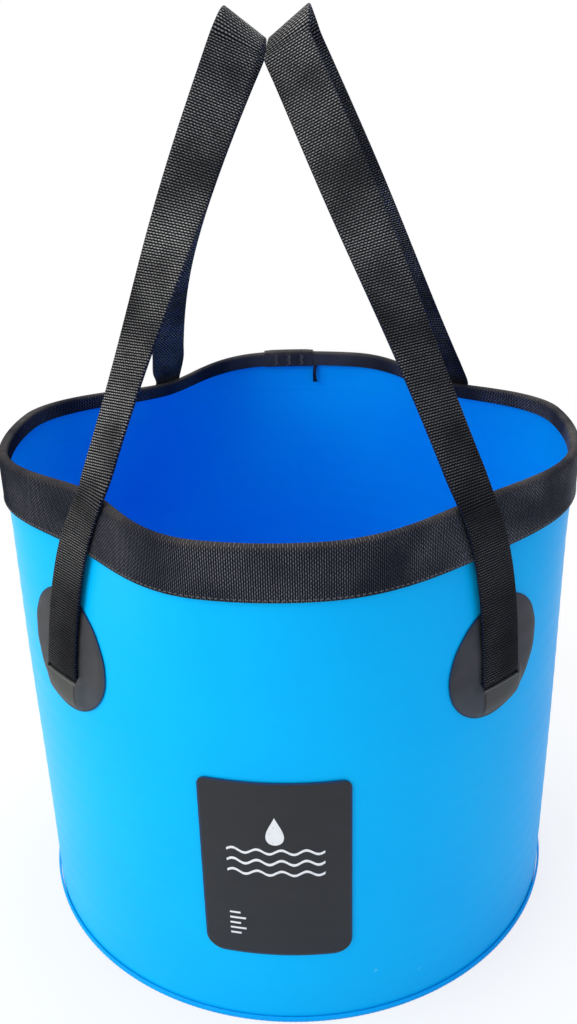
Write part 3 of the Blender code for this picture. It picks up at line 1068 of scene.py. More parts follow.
@dataclass
class RimWebbing:
    """The webbing folded over the rim: the ring, its lap, its seam and the loose end inside."""

    thickness: float = 0.0014
    inner_drop: float = 0.008
    ribs: int = 948
    rib_height: float = 0.00005
    thread_pitch: float = 0.0016
    fade_drop: float = 0.0025
    lap_azimuth: float = math.radians(183.5)
    lap_length: float = 0.028
    lap_thickness: float = 0.0006
    lap_end_thickness: float = 0.0002
    lap_taper: float = 0.0045
    stitch_rise: float = 0.0013
    stitch_pitch: float = 0.0022
    stitch_length: float = 0.0014
    stitch_radius: float = 0.00030
    probe_turn: float = 0.01
    probe_rise: float = 0.001
    tack_rows: tuple[float, ...] = (-0.0075, 0.0, 0.0075)
    tack_step: float = 0.0011
    tack_foot: float = 0.0015
    tack_head: float = 0.0030
    inner_tack_foot: float = 0.0008
    inner_tack_head: float = 0.0012
    tail_azimuth: float = math.radians(176.5)
    tail_width: float = 0.0020
    tail_length: float = 0.0108
    tail_thickness: float = 0.0005
    tail_start: float = 0.0015
    tail_gap: float = 0.0006
    tail_curl: float = 0.0006
    tail_bow: float = 0.0014

    @property
    def rib_pitch(self) -> float:
        """The distance from rib to rib round the wall."""
        return TAU * FORM.radius / self.ribs

    def build(self) -> None:
        """Builds the ring, the lap, the stitches and the loose end."""
        webbing = Webbing(
            "rim_webbing", self.rib_pitch, self.thread_pitch, low_edge=FORM.binding_bottom, high_edge=1.0,
            dark=(0.004, 0.006, 0.014), lit=(0.22, 0.22, 0.23), fade_from=FORM.height - self.fade_drop,
        ).material()
        self.build_ring(webbing)
        self.build_lap(webbing)
        dark = Thread("seam_thread", (0.02, 0.02, 0.026), (0.17, 0.17, 0.18)).material()
        brown = Thread("tack_thread", (0.04, 0.035, 0.035), (0.17, 0.15, 0.14)).material()
        self.build_stitches(dark)
        self.build_tacks(brown)
        self.build_loose_end(webbing)

    def folded_profile(self, clearance: float, thickness: float) -> list[tuple[float, float]]:
        """The closed profile of webbing folded over the hem.

        Args:
            clearance: its distance off the hem.
            thickness: its own thickness.

        Returns:
            Its (standoff, height) points, up the outer face, over the top and back inside.
        """
        outer = clearance
        inner = -FORM.sheet - clearance
        hem_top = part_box("wall_hem")[1][2]
        top = hem_top + clearance
        bottom = FORM.binding_bottom
        inner_bottom = FORM.height - self.inner_drop
        soft = thickness * 0.3
        outside = [(outer + thickness, row) for row in evenly(bottom + soft, top, 9)]
        middle = (outer + inner) / 2
        half = (outer - inner) / 2 + thickness
        over = [
            (middle + half * math.cos(angle), top + thickness * math.sin(angle))
            for angle in evenly(0.0, math.pi, 9)[1:-1]
        ]
        inside = [(inner - thickness, row) for row in evenly(top, inner_bottom + soft, 5)]
        toe = [(inner - soft, inner_bottom), (inner, inner_bottom + soft)]
        back = [(inner, top), (outer, top)] + [(outer, row) for row in evenly(top, bottom + soft, 6)[1:]]
        foot = [(outer + soft, bottom), (outer + thickness - soft, bottom)]
        return outside + over + inside + toe + back + foot

    def rib_at(self, azimuth: float, height: float, standoff: float) -> float:
        """How far a rib stands up at a place, on the faces that show.

        Args:
            azimuth: the azimuth.
            height: the height.
            standoff: the distance off the wall's outer face.

        Returns:
            The height of the rib, with its sign.
        """
        if -FORM.sheet - FORM.seat * 2 < standoff < FORM.seat * 2:
            return 0.0
        return math.copysign(self.rib_height, standoff) * math.cos(self.ribs * azimuth)

    def build_ring(self, finish: bpy.types.Material) -> None:
        """The webbing itself.

        Args:
            finish: its material.
        """
        profile = self.folded_profile(FORM.seat, self.thickness)
        bm = turned_ring(profile, self.ribs * 2)
        map_uv(bm, ring_place, TAU * FORM.radius)
        press_in(bm, self.rib_at)
        obj = Piece("rim_webbing_ring", [finish], Slot.WEBBING, 60).made_of(bm)
        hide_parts("rim_binding")
        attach(obj, Body.RIM.value)

    def build_lap(self, finish: bpy.types.Material) -> None:
        """The short lap where the webbing's two ends meet, worn thin at its ends.

        Args:
            finish: its material.
        """
        clearance = FORM.seat * 2 + self.thickness
        thick = self.folded_profile(clearance, self.lap_thickness)
        thin = self.folded_profile(clearance, self.lap_end_thickness)
        half_turn = self.lap_length / FORM.radius / 2
        steps = round(self.lap_length / self.rib_pitch) * 2
        bm = bmesh.new()
        start = self.lap_azimuth - half_turn - math.pi / 2
        turn = Matrix.Rotation(start, 4, "Z")
        points = [bm.verts.new(turn @ Vector((FORM.radius + off, 0, row))) for off, row in thick]
        spin_round(bm, [bm.faces.new(points)], half_turn * 2, steps)
        for vertex in bm.verts:
            azimuth, height = azimuth_of(vertex.co), vertex.co.z
            off = math.hypot(vertex.co.x, vertex.co.y) - FORM.radius
            gaps = [math.hypot(point[0] - off, point[1] - height) for point in thick]
            nearest = gaps.index(min(gaps))
            from_end = (half_turn - abs(turn_between(azimuth, self.lap_azimuth))) * FORM.radius
            share = ease(from_end / self.lap_taper)
            off, height = (low + (high - low) * share for low, high in zip(thin[nearest], thick[nearest]))
            vertex.co = round_point(FORM.radius + off, azimuth, height)
        map_uv(bm, ring_place, TAU * FORM.radius)
        press_in(bm, self.rib_at)
        obj = Piece("rim_webbing_lap", [finish], Slot.WEBBING, 50).made_of(bm)
        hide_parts("rim_binding_lap")
        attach(obj, Body.RIM.value)

    def stitch(self, bm: bmesh.types.BMesh, place: Vector, along: Vector, out: Vector, length: float) -> None:
        """Adds one stitch, a short bead of thread half sunk in the webbing.

        Args:
            bm: the mesh that holds the stitches.
            place: the stitch's middle.
            along: its direction.
            out: the direction that it stands out in.
            length: its length.
        """
        side = out.cross(along).normalized()
        turn = Matrix((along, side, out)).transposed().to_4x4()
        grow = Matrix.Diagonal((length / 2, self.stitch_radius * 1.1, self.stitch_radius, 1.0))
        bmesh.ops.create_uvsphere(
            bm, u_segments=6, v_segments=5, radius=1.0,
            matrix=Matrix.Translation(place) @ turn @ grow @ Matrix.Rotation(math.pi / 2, 4, "Y"),
        )

    def build_stitches(self, finish: bpy.types.Material) -> None:
        """The row of stitches that closes the webbing over the wall.

        Args:
            finish: the thread's material.
        """
        bm = bmesh.new()
        count = round(TAU * FORM.radius / self.stitch_pitch)
        height = FORM.binding_bottom + self.stitch_rise
        standoff = FORM.seat + self.thickness + self.rib_height
        for step in range(count):
            azimuth = TAU * step / count
            if abs(turn_between(azimuth, self.lap_azimuth)) < self.lap_length / FORM.radius / 2:
                continue
            place = FORM.place(azimuth, height, standoff)
            ahead = FORM.place(azimuth + self.probe_turn, height, standoff)
            above = FORM.place(azimuth, height + self.probe_rise, standoff)
            along = (ahead - place).normalized()
            out = along.cross((above - place).normalized()).normalized()
            if out.dot(Vector((place.x, place.y, 0))) < 0:
                out = -out
            self.stitch(bm, place, along, out, self.stitch_length)
        map_uv(bm, ring_place)
        obj = Piece("rim_stitches", [finish], Slot.WEBBING, 80).made_of(bm, recalculate=False)
        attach(obj, Body.RIM.value)

    def build_tacks(self, finish: bpy.types.Material) -> None:
        """The zigzag tacks that hold the lap, on its inner and its outer face.

        Args:
            finish: the thread's material.
        """
        bm = bmesh.new()
        deep = FORM.seat * 2 + self.thickness + self.lap_thickness
        faces = (
            (deep, FORM.binding_bottom + self.tack_foot, FORM.height - self.tack_head, 1),
            (
                -FORM.sheet - deep, FORM.height - self.inner_drop + self.inner_tack_foot,
                FORM.height - self.inner_tack_head, -1,
            ),
        )
        for standoff, low, high, sense in faces:
            for row in self.tack_rows:
                azimuth = self.lap_azimuth + row / FORM.radius
                heights = evenly(low, high, max(4, round((high - low) / self.tack_step)))
                for step, (foot, head) in enumerate(zip(heights, heights[1:])):
                    lean = self.tack_step / FORM.radius * (1 if step % 2 else -1)
                    start = FORM.place(azimuth - lean, foot, standoff)
                    end = FORM.place(azimuth + lean, head, standoff)
                    along = (end - start).normalized()
                    flat = Vector((start.x, start.y, 0)).normalized() * sense
                    out = (flat - along * flat.dot(along)).normalized()
                    self.stitch(bm, (start + end) / 2, along, out, (end - start).length * 1.1)
        map_uv(bm, ring_place)
        obj = Piece("lap_tacks", [finish], Slot.WEBBING, 80).made_of(bm, recalculate=False)
        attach(obj, Body.RIM.value)

    def build_loose_end(self, finish: bpy.types.Material) -> None:
        """The narrow end of tape that hangs down inside, below the rim webbing.

        Args:
            finish: its material.
        """
        top = FORM.height - self.inner_drop + self.tail_start
        bm = bmesh.new()
        bmesh.ops.create_grid(bm, x_segments=4, y_segments=24, size=0.5)
        for vertex in bm.verts:
            share = 0.5 - vertex.co.y
            width = self.tail_width * (1.0 + 0.35 * ease((share - 0.8) * 5))
            curl = self.tail_curl * math.sin(share * 2.6)
            vertex.co = (vertex.co.x * width + curl, top - share * self.tail_length, 0.0)
        thicken(bm, lambda place: self.tail_thickness)
        map_uv(bm, lengthwise_place)
        inside = -FORM.sheet - FORM.seat - self.tail_gap
        for vertex in bm.verts:
            across, height, rise = vertex.co
            bow = self.tail_bow * math.sin((top - height) / self.tail_length * 2.2)
            vertex.co = FORM.place(self.tail_azimuth + across / FORM.radius, height, inside - rise - bow)
        obj = Piece("loose_tape_end", [finish], Slot.WEBBING).made_of(bm)
        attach(obj, Body.RIM.value)


@dataclass
class Patch:
    """One oval patch with its slit, raised over the strap's end, and that end beneath it.

    The oval's long axis rises towards the near side of the bucket.
    """

    name: str
    node: str
    tail_node: str
    azimuth: float
    length: float = 0.0558
    width: float = 0.0466
    tilt: float = math.radians(32)
    thickness: float = 0.0008
    edge_thickness: float = 0.00035
    edge_width: float = 0.0026
    press_width: float = 0.0080
    centre_drop: float = 0.0669
    slit_drop: float = 0.0745
    slit_height: float = 0.0036
    strap_width: float = 0.021
    strap_thickness: float = 0.0014
    tail_length: float = 0.0080
    clearance: float = 0.0004
    slit_clearance: float = 0.00015
    rise_blend: float = 0.0050
    crease_height: float = 0.00035
    crease_width: float = 0.0011
    columns: int = 46
    rows: int = 50

    @property
    def slit_top(self) -> float:
        """The upper edge of the slit."""
        return FORM.height - self.slit_drop

    @property
    def slit_bottom(self) -> float:
        """The lower edge of the slit."""
        return self.slit_top - self.slit_height

    @property
    def centre(self) -> float:
        """The height of the patch's middle."""
        return FORM.height - self.centre_drop

    @property
    def lean(self) -> float:
        """The angle that the oval is turned by."""
        return math.copysign(self.tilt, math.sin(2 * self.azimuth))

    @property
    def corner(self) -> float:
        """The place across the patch of the crease off the slit's inner corner."""
        return math.copysign(self.strap_width / 2 * 0.96, -self.azimuth)

    def rise_at(self, across: float, height: float) -> float:
        """How far the patch stands up over the strap's end, with the creases that lead off it.

        Args:
            across: the place across the patch.
            height: the height.

        Returns:
            The distance that its underside stands off the wall.
        """
        half = self.strap_width / 2
        side = (half + self.clearance + self.rise_blend - abs(across)) / self.rise_blend
        foot = self.slit_bottom - self.tail_length - self.clearance
        bottom = (height - foot + self.rise_blend) / self.rise_blend
        head = (self.slit_top - height) / self.slit_height
        over_tail = (self.tail_rise(across, height) + FORM.seat) * ease(side) * ease(bottom) * ease(head)
        below = ease((foot + self.rise_blend - height) / self.rise_blend)
        crease = math.exp(-(((across - self.corner) / self.crease_width) ** 2)) * below
        return over_tail + self.crease_height * crease * self.edge_share(across, height)

    def from_edge(self, across: float, height: float) -> float:
        """About how far a place on the patch is from its edge.

        Args:
            across: the place across the patch.
            height: the height.

        Returns:
            The distance.
        """
        place = Matrix.Rotation(-self.lean, 2) @ Vector((across, height - self.centre))
        return (1 - math.hypot(place.x / (self.length / 2), place.y / (self.width / 2))) * self.width / 2

    def edge_share(self, across: float, height: float) -> float:
        """0 at the patch's edge, 1 where it has its whole thickness."""
        return ease(self.from_edge(across, height) / self.edge_width)

    def tail_rise(self, across: float, height: float) -> float:
        """The thickness of the strap's end, which the weld pressed flat towards the patch's edge."""
        return self.strap_thickness * (0.3 + 0.7 * ease(self.from_edge(across, height) / self.press_width))

    def build(self, webbing: bpy.types.Material) -> None:
        """Builds the patch and the strap's end, of this webbing.

        Args:
            webbing: the strap end's material.
        """
        finish = PatchSheet(
            self.name.replace("sheet", "fabric"), self.lean, self.centre, self.length, self.width,
            self.slit_bottom, self.corner,
        )
        self.build_patch(finish.material())
        self.build_tail(webbing)

    def build_patch(self, finish: bpy.types.Material) -> None:
        """The oval sheet.

        Args:
            finish: its material.
        """
        bm = bmesh.new()
        bmesh.ops.create_grid(bm, x_segments=self.columns, y_segments=self.rows, size=1.0)
        for vertex in bm.verts:
            x, y = vertex.co.xy
            long_way = x * math.sqrt(1 - y * y / 2) * self.length / 2
            short_way = y * math.sqrt(1 - x * x / 2) * self.width / 2
            vertex.co = (long_way, short_way, 0.0)
        bmesh.ops.rotate(bm, verts=bm.verts, cent=(0, 0, 0), matrix=Matrix.Rotation(self.lean, 3, "Z"))
        bmesh.ops.translate(bm, verts=bm.verts, vec=(0, self.centre, 0))
        side = self.strap_width / 2 + self.slit_clearance
        cut_lines(bm, 0, (-side, side))
        cut_lines(bm, 1, (self.slit_bottom, self.slit_top))
        in_slit = []
        for face in bm.faces:
            middle = face.calc_center_median()
            if abs(middle.x) < side and self.slit_bottom < middle.y < self.slit_top:
                in_slit.append(face)
        bmesh.ops.delete(bm, geom=in_slit, context="FACES")
        for vertex in bm.verts:
            vertex.co.z = FORM.seat + self.rise_at(vertex.co.x, vertex.co.y)
        spread = self.thickness - self.edge_thickness
        thicken(bm, lambda place: self.edge_thickness + spread * self.edge_share(place.x, place.y))
        map_uv(bm, flat_place)
        wrap_round(bm, self.azimuth)
        obj = Piece(self.name, [finish], Slot.PATCH, 45).made_of(bm)
        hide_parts(self.node)
        COLLAPSE.on_anchors(obj)

    def build_tail(self, finish: bpy.types.Material) -> None:
        """The welded end of the strap under the patch.

        Args:
            finish: its material.
        """
        top = self.slit_bottom + self.slit_height * 0.3
        bottom = self.slit_bottom - self.tail_length
        bm = bmesh.new()
        bmesh.ops.create_grid(bm, x_segments=12, y_segments=26, size=0.5)
        for vertex in bm.verts:
            up = bottom + (vertex.co.y + 0.5) * (top - bottom)
            vertex.co = (vertex.co.x * self.strap_width, up, FORM.seat)
        thicken(bm, lambda place: self.tail_rise(place.x, place.y))
        map_uv(bm, lengthwise_place)
        wrap_round(bm, self.azimuth)
        obj = Piece(self.name.replace("patch", "strap_end"), [finish], Slot.WEBBING).made_of(bm)
        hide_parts(self.tail_node)
        COLLAPSE.on_anchors(obj)


@dataclass
class Handle:
    """One strap from its front slit over the rim, round the loop and down to its back slit."""

    label: str
    side: int
    apex_x: float
    front_x: float
    back_x: float
    front_rim: float
    back_rim: float
    front_bow: float
    back_bow: float
    turn_delay: float = 1.4
    bend: float = 3.5
    apex_tilt: float = math.radians(37)
    width: float = 0.021
    thickness: float = 0.0014
    rise: float = 0.1676
    top_radius: float = 0.0090
    rib_pitch: float = 0.00110
    thread_pitch: float = 0.00150
    # how far from the strap's ends its painted shade reaches
    end_shade_to: float = 0.110
    rib_height: float = 0.00005
    split_height: float = 0.200
    slit_bend: float = 0.0095
    rim_bend_below: float = 0.010
    rim_bend_above: float = 0.014
    slit_start: float = 0.0030
    slit_lift: float = 0.0034
    slit_run: float = 0.0040
    on_patch: float = 0.0014
    on_binding: float = 0.0023
    slit_drop: float = 0.0745
    laterals: int = 7
    face_columns: int = 11
    path_steps: int = 12

    @property
    def slit_top(self) -> float:
        """The upper edge of the slits."""
        return FORM.height - self.slit_drop

    def across(self) -> list[float]:
        """The places across the strap that each line of the path has."""
        return evenly(-self.width / 2, self.width / 2, self.laterals)

    def standoff(self, height: float) -> float:
        """The inner face's distance off the wall, from inside the slit up over the rim webbing.

        Args:
            height: the height.

        Returns:
            The distance.
        """
        out_of_slit = ease((height - self.slit_top + self.slit_lift) / self.slit_run)
        resting = (height - self.slit_top) / (FORM.binding_bottom - self.slit_top)
        free = self.on_patch + (self.on_binding - self.on_patch) * min(max(resting, 0.0), 1.0)
        return FORM.seat + (free - FORM.seat) * out_of_slit

    def wall_lines(self, slit: float, rim: float) -> list[Line]:
        """The path from a slit up to the rim.

        Args:
            slit: the slit's azimuth.
            rim: the azimuth at which the strap crosses the rim.

        Returns:
            One line of points across the strap for each height.
        """
        near = self.slit_top + self.slit_run
        heights = evenly(self.slit_top - self.slit_start, near, 8)
        heights += evenly(near + self.slit_run, FORM.height, 16)
        lines = []
        for height in heights:
            share = max(0.0, (height - self.slit_top) / (FORM.height - self.slit_top))
            azimuth = slit + turn_between(rim, slit) * share**self.bend
            standoff = self.standoff(height) + self.thickness / 2
            azimuths = [azimuth + step / FORM.radius for step in self.across()]
            lines.append([FORM.place(turn, height, standoff) for turn in azimuths])
        return lines

    def flat_line(self, centre: Vector, heading: Vector, width_axis: Vector) -> Line:
        """A straight line across the strap, square to its heading.

        Args:
            centre: its middle.
            heading: where the strap runs to.
            width_axis: about the direction that it lies in.

        Returns:
            Its points.
        """
        width_axis = (width_axis - heading * width_axis.dot(heading)).normalized()
        return [centre + width_axis * step for step in self.across()]

    def side_lines(self, rim_line: Line, shoulder: Vector, fold_axis: Vector, bow: float) -> list[Line]:
        """The path of one side of the loop, from the rim up to where it bends over the top.

        Args:
            rim_line: the line across the strap at the rim.
            shoulder: the strap's middle where the bend over the top starts.
            fold_axis: the line that it bends about, as a direction.
            bow: how far the side bows outwards.

        Returns:
            The lines, without the one at the rim.
        """
        start = rim_line[self.laterals // 2]
        start_axis = (rim_line[-1] - rim_line[0]).normalized()
        run = shoulder - start
        lines = []
        for share in evenly(0.0, 1.0, 19)[1:]:
            centre = start.lerp(shoulder, share) + Vector((bow * math.sin(math.pi * share), 0, 0))
            heading = (run + Vector((bow * math.pi * math.cos(math.pi * share), 0, 0))).normalized()
            width_axis = start_axis.lerp(fold_axis, ease(share) ** self.turn_delay)
            lines.append(self.flat_line(centre, heading, width_axis))
        return lines

    def path(self) -> list[Line]:
        """The whole path, from the front slit to the back one.

        Returns:
            Its lines.
        """
        side, patch = self.side, FORM.patch_azimuth
        axis = Vector((math.cos(self.apex_tilt), 0, side * math.sin(self.apex_tilt)))
        apex_height = FORM.height + self.rise
        fold = [Vector((self.apex_x, 0, apex_height)) + axis * step for step in self.across()]
        front_leg = self.wall_lines(side * patch, side * self.front_rim)
        back_leg = self.wall_lines(side * (math.pi - patch), side * self.back_rim)
        shoulders = (
            Vector((self.front_x, -self.top_radius, apex_height - self.top_radius)),
            Vector((self.back_x, self.top_radius, apex_height - self.top_radius)),
        )
        front = self.side_lines(front_leg[-1], shoulders[0], axis, side * self.front_bow)
        back = self.side_lines(back_leg[-1], shoulders[1], -axis, side * self.back_bow)
        over = []
        for angle in evenly(0.0, math.pi, 9)[1:-1]:
            shoulder = front[-1] if angle < math.pi / 2 else back[-1][::-1]
            line = [low.lerp(high, math.sin(angle)) for low, high in zip(shoulder, fold)]
            for place, low in zip(line, shoulder):
                place.y = low.y * abs(math.cos(angle))
            over.append(line)
        turned_back = [line[::-1] for line in reversed(back_leg + back)]
        return front_leg + front + over + turned_back

    def fine_path(self) -> list[Line]:
        """The path resampled along smooth curves, with a line for each half rib.

        Returns:
            Its lines.
        """
        lines = self.path()
        middle = self.laterals // 2
        fine, travelled = [], [0.0]
        dense: list[Line] = []
        for index in range(len(lines) - 1):
            before = lines[max(index - 1, 0)]
            after = lines[min(index + 2, len(lines) - 1)]
            for step in range(self.path_steps):
                share = step / self.path_steps
                dense.append([
                    smooth_between(a, b, c, d, share)
                    for a, b, c, d in zip(before, lines[index], lines[index + 1], after)
                ])
        dense.append(lines[-1])
        for line, following in zip(dense, dense[1:]):
            travelled.append(travelled[-1] + (following[middle] - line[middle]).length)
        count = int(travelled[-1] / (self.rib_pitch / 2))
        at = 0
        for step in range(count + 1):
            goal = step * self.rib_pitch / 2
            while at < len(travelled) - 2 and travelled[at + 1] < goal:
                at += 1
            gap = travelled[at + 1] - travelled[at]
            share = (goal - travelled[at]) / gap if gap else 0.0
            fine.append([start.lerp(end, share) for start, end in zip(dense[at], dense[at + 1])])
        return fine

    def outline(self) -> list[tuple[float, float]]:
        """The strap's cross-section as (across, out) points, with rounded edges.

        Returns:
            The points.
        """
        flat = self.width / 2 - self.thickness * 0.45
        half = self.thickness / 2
        face = [(step, half) for step in evenly(-flat, flat, self.face_columns)]
        edge = [(flat + self.thickness * 0.45 * math.sin(angle), half * math.cos(angle))
                for angle in (math.pi * 0.28, math.pi * 0.5, math.pi * 0.72)]
        return face + edge + [(-across, -out) for across, out in face + edge]

    def surface_point(self, line: Line, normal: Sequence[Vector], across: float, out: float) -> Vector:
        """The point at a place across the strap, standing out from its middle surface.

        Args:
            line: the strap's line there.
            normal: the way out at each of its points.
            across: the place across the strap.
            out: the distance off the middle surface.

        Returns:
            The point.
        """
        place = (across / self.width + 0.5) * (self.laterals - 1)
        index = min(max(int(place), 0), self.laterals - 2)
        share = place - index
        return line[index].lerp(line[index + 1], share) + normal[index].lerp(normal[index + 1], share) * out

    def stretch(self, name: str, fine: list[Line], first: int, last: int,
                finish: bpy.types.Material) -> bpy.types.Object:
        """One closed length of the strap.

        Args:
            name: the object's name.
            fine: the whole strap's lines.
            first: the first line of this length.
            last: its last line.
            finish: the webbing's material.

        Returns:
            The object.
        """
        outline = self.outline()
        columns, rows = len(outline), last - first
        normals = []
        for index in range(first, last + 1):
            ahead, behind = fine[min(index + 1, len(fine) - 1)], fine[max(index - 1, 0)]
            line = fine[index]
            row = []
            for lateral in range(self.laterals):
                wide = line[min(lateral + 1, self.laterals - 1)] - line[max(lateral - 1, 0)]
                row.append(wide.cross(ahead[lateral] - behind[lateral]).normalized())
            normals.append(row)
        bm = bmesh.new()
        bmesh.ops.create_grid(bm, x_segments=columns, y_segments=rows, size=0.5)
        places = {}
        for vertex in bm.verts:
            column = round((vertex.co.x + 0.5) * columns) % columns
            row = round((vertex.co.y + 0.5) * rows)
            across, out = outline[column]
            rib = self.rib_height * (1 if (first + row) % 2 == 0 else -1)
            out += math.copysign(rib, out) if abs(out) > self.thickness / 3 else 0.0
            vertex.co = self.surface_point(fine[first + row], normals[row], across, out)
            places[vertex] = ((first + row) * self.rib_pitch / 2, across)
        map_uv(bm, places.get)
        bmesh.ops.remove_doubles(bm, verts=bm.verts, dist=1e-6)
        edges = [edge for edge in bm.edges if edge.is_boundary]
        bmesh.ops.holes_fill(bm, edges=edges, sides=0)
        return Piece(name, [finish], Slot.WEBBING, 60).made_of(bm)

    def webbing(self, name: str, run: float = 0.0) -> bpy.types.Material:
        """The strap's material, its painted glints dimmed by painted shade towards both ends of a run of this
        length.

        Args:
            name: the material's name.
            run: the length of the run, or 0 for none.

        Returns:
            The material.
        """
        half = self.width / 2
        finish = Webbing(
            name, self.rib_pitch, self.thread_pitch, -half, half, run=run, end_shade_to=self.end_shade_to,
        )
        return finish.material()

    def lines_above(self, fine: list[Line], height: float) -> tuple[int, int]:
        """The first and the last of the strap's lines above a height.

        Args:
            fine: the strap's lines.
            height: the height.

        Returns:
            Their places in the list.
        """
        above = [i for i, line in enumerate(fine) if line[self.laterals // 2].z > height]
        return above[0], above[-1]

    def build(self) -> None:
        """Builds the ends in the slits, the two legs and the loop."""
        fine = self.fine_path()
        finish = self.webbing(f"{self.label}_strap_webbing", (len(fine) - 1) * self.rib_pitch / 2)
        slit_front, slit_back = self.lines_above(fine, self.slit_top)
        low_front, low_back = self.lines_above(fine, self.split_height)
        over = self.stretch(f"{self.label}_strap_loop", fine, low_front, low_back, finish)
        runs = {"front": (0, slit_front, low_front), "back": (len(fine) - 1, slit_back, low_back)}
        for end, (outer, slit, top) in runs.items():
            name = f"{self.label}_{end}_strap"
            inside = self.stretch(f"{name}_in_slit", fine, min(outer, slit), max(outer, slit), finish)
            COLLAPSE.on_anchors(inside)
            leg = self.stretch(name, fine, min(slit, top), max(slit, top), finish)
            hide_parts(f"{name}_leg")
            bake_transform(leg)
        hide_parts(f"{self.label}_handle_loop")
        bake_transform(over)


def smooth_between(before: Vector, start: Vector, end: Vector, after: Vector, share: float) -> Vector:
    """A point of the Catmull-Rom curve from start to end.

    Args:
        before: the point ahead of start.
        start: the curve's first point.
        end: its last point.
        after: the point past end.
        share: how far along it is.

    Returns:
        The point.
    """
    square, cube = share * share, share * share * share
    return 0.5 * (
        2 * start + (end - before) * share + (2 * before - 5 * start + 4 * end - after) * square
        + (3 * start - before - 3 * end + after) * cube
    )


@dataclass
class Label:
    """The panel on the front and the plain marks printed on it."""

    thickness: float = 0.0005
    top_corner: float = 0.004
    bottom_corner: float = 0.008
    column: float = 0.0026
    row: float = 0.0030
    ink_rise: float = 0.00012
    line_width: float = 0.0012
    wave_height: float = 0.0011
    wave_pitch: float = 0.0100
    waves: int = 3
    wave_gap: float = 0.0055
    marks_side: float = 0.0200
    strip_step: float = 0.0008
    drop_rise: float = 0.0105
    drop_radius: float = 0.0046
    bars: int = 5
    bar_length: float = 0.0045
    bar_more: float = 0.0022
    bar_foot: float = 0.0110
    bar_gap: float = 0.0028
    bar_width: float = 0.0009
    width: float = 0.062

    def build(self) -> None:
        """Builds the panel and its print."""
        low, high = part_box("label_panel")
        bottom, top = low[2], high[2]
        self.build_panel(bottom, top)
        self.build_print(bottom, top)

    def build_panel(self, bottom: float, top: float) -> None:
        """The film with its rounded corners.

        Args:
            bottom: the height of its lower edge.
            top: the height of its upper edge.
        """
        bm = bmesh.new()
        half = self.width / 2
        corners = ((-half, bottom), (half, bottom), (half, top), (-half, top))
        bm.faces.new([bm.verts.new((x, y, 0)) for x, y in corners])
        middle = (bottom + top) / 2
        for radius, above in ((self.top_corner, True), (self.bottom_corner, False)):
            chosen = [v for v in bm.verts if (v.co.y > middle) == above and abs(v.co.x) > half - FORM.seat]
            bmesh.ops.bevel(
                bm, geom=chosen, offset=radius, offset_type="OFFSET", affect="VERTICES",
                segments=8, profile=0.5, material=-1,
            )
        cut_lines(bm, 0, evenly(-half, half, round(self.width / self.column) + 1)[1:-1])
        cut_lines(bm, 1, evenly(bottom, top, round((top - bottom) / self.row) + 1)[1:-1])
        for vertex in bm.verts:
            vertex.co.z = FORM.seat
        thicken(bm, lambda place: self.thickness)
        map_uv(bm, flat_place)
        wrap_round(bm, 0.0)
        film = LabelFilm(self.width, bottom, top).material()
        obj = Piece("label_film", [film], Slot.LABEL, 30).made_of(bm)
        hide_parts("label_panel")
        COLLAPSE.on_base(obj)

    def add_strip(self, bm: bmesh.types.BMesh, start: float, end: float, height: float, width: float,
                  wave: float = 0.0) -> None:
        """Adds one printed line to a flat sheet.

        Args:
            bm: the sheet.
            start: its left end, across the label.
            end: its right end.
            height: its height up the bucket.
            width: how thick the line is.
            wave: how high it waves.
        """
        steps = max(2, round((end - start) / self.strip_step))
        made = bmesh.ops.create_grid(bm, x_segments=steps, y_segments=1, size=0.5)
        for vertex in made["verts"]:
            along = start + (vertex.co.x + 0.5) * (end - start)
            up = height + vertex.co.y * width + wave * math.sin(TAU * (along - start) / self.wave_pitch)
            vertex.co = (along, up, 0.0)

    def add_drop(self, bm: bmesh.types.BMesh, across: float, height: float, radius: float) -> None:
        """Adds one filled drop, round below and pointed above.

        Args:
            bm: the sheet.
            across: the drop's middle, across the label.
            height: its middle's height.
            radius: its size.
        """
        made = bmesh.ops.create_circle(bm, cap_ends=True, segments=40, radius=1.0)
        for vertex in made["verts"]:
            angle = math.atan2(vertex.co.x, vertex.co.y)
            narrow = math.sin(abs(angle) / 2) ** 1.5
            side = math.copysign(narrow, angle) * math.sin(abs(angle)) * 1.15
            vertex.co = (across + radius * side, height + radius * 1.5 * math.cos(angle), 0.0)

    def build_print(self, bottom: float, top: float) -> None:
        """Plain marks: a drop over three waves, and a short scale of bars below.

        Args:
            bottom: the height of the panel's lower edge.
            top: the height of its upper edge.
        """
        bm = bmesh.new()
        middle = bottom + (top - bottom) * 0.62
        left, right = -self.marks_side, self.marks_side
        for line in range(self.waves):
            self.add_strip(bm, left, right, middle - self.wave_gap * line, self.line_width, self.wave_height)
        self.add_drop(bm, 0.0, middle + self.drop_rise, self.drop_radius)
        for bar in range(self.bars):
            end = left + self.bar_length + self.bar_more * (bar % 2)
            self.add_strip(bm, left, end, bottom + self.bar_foot + self.bar_gap * bar, self.bar_width)
        for vertex in bm.verts:
            vertex.co.z = FORM.seat + self.thickness + FORM.seat / 10
        thicken(bm, lambda place: self.ink_rise)
        bmesh.ops.triangulate(bm, faces=[face for face in bm.faces if len(face.verts) > 4])
        map_uv(bm, flat_place)
        wrap_round(bm, 0.0)
        obj = Piece("label_print", [PlainInk().material()], Slot.LABEL).made_of(bm)
        COLLAPSE.on_base(obj)


# The stage


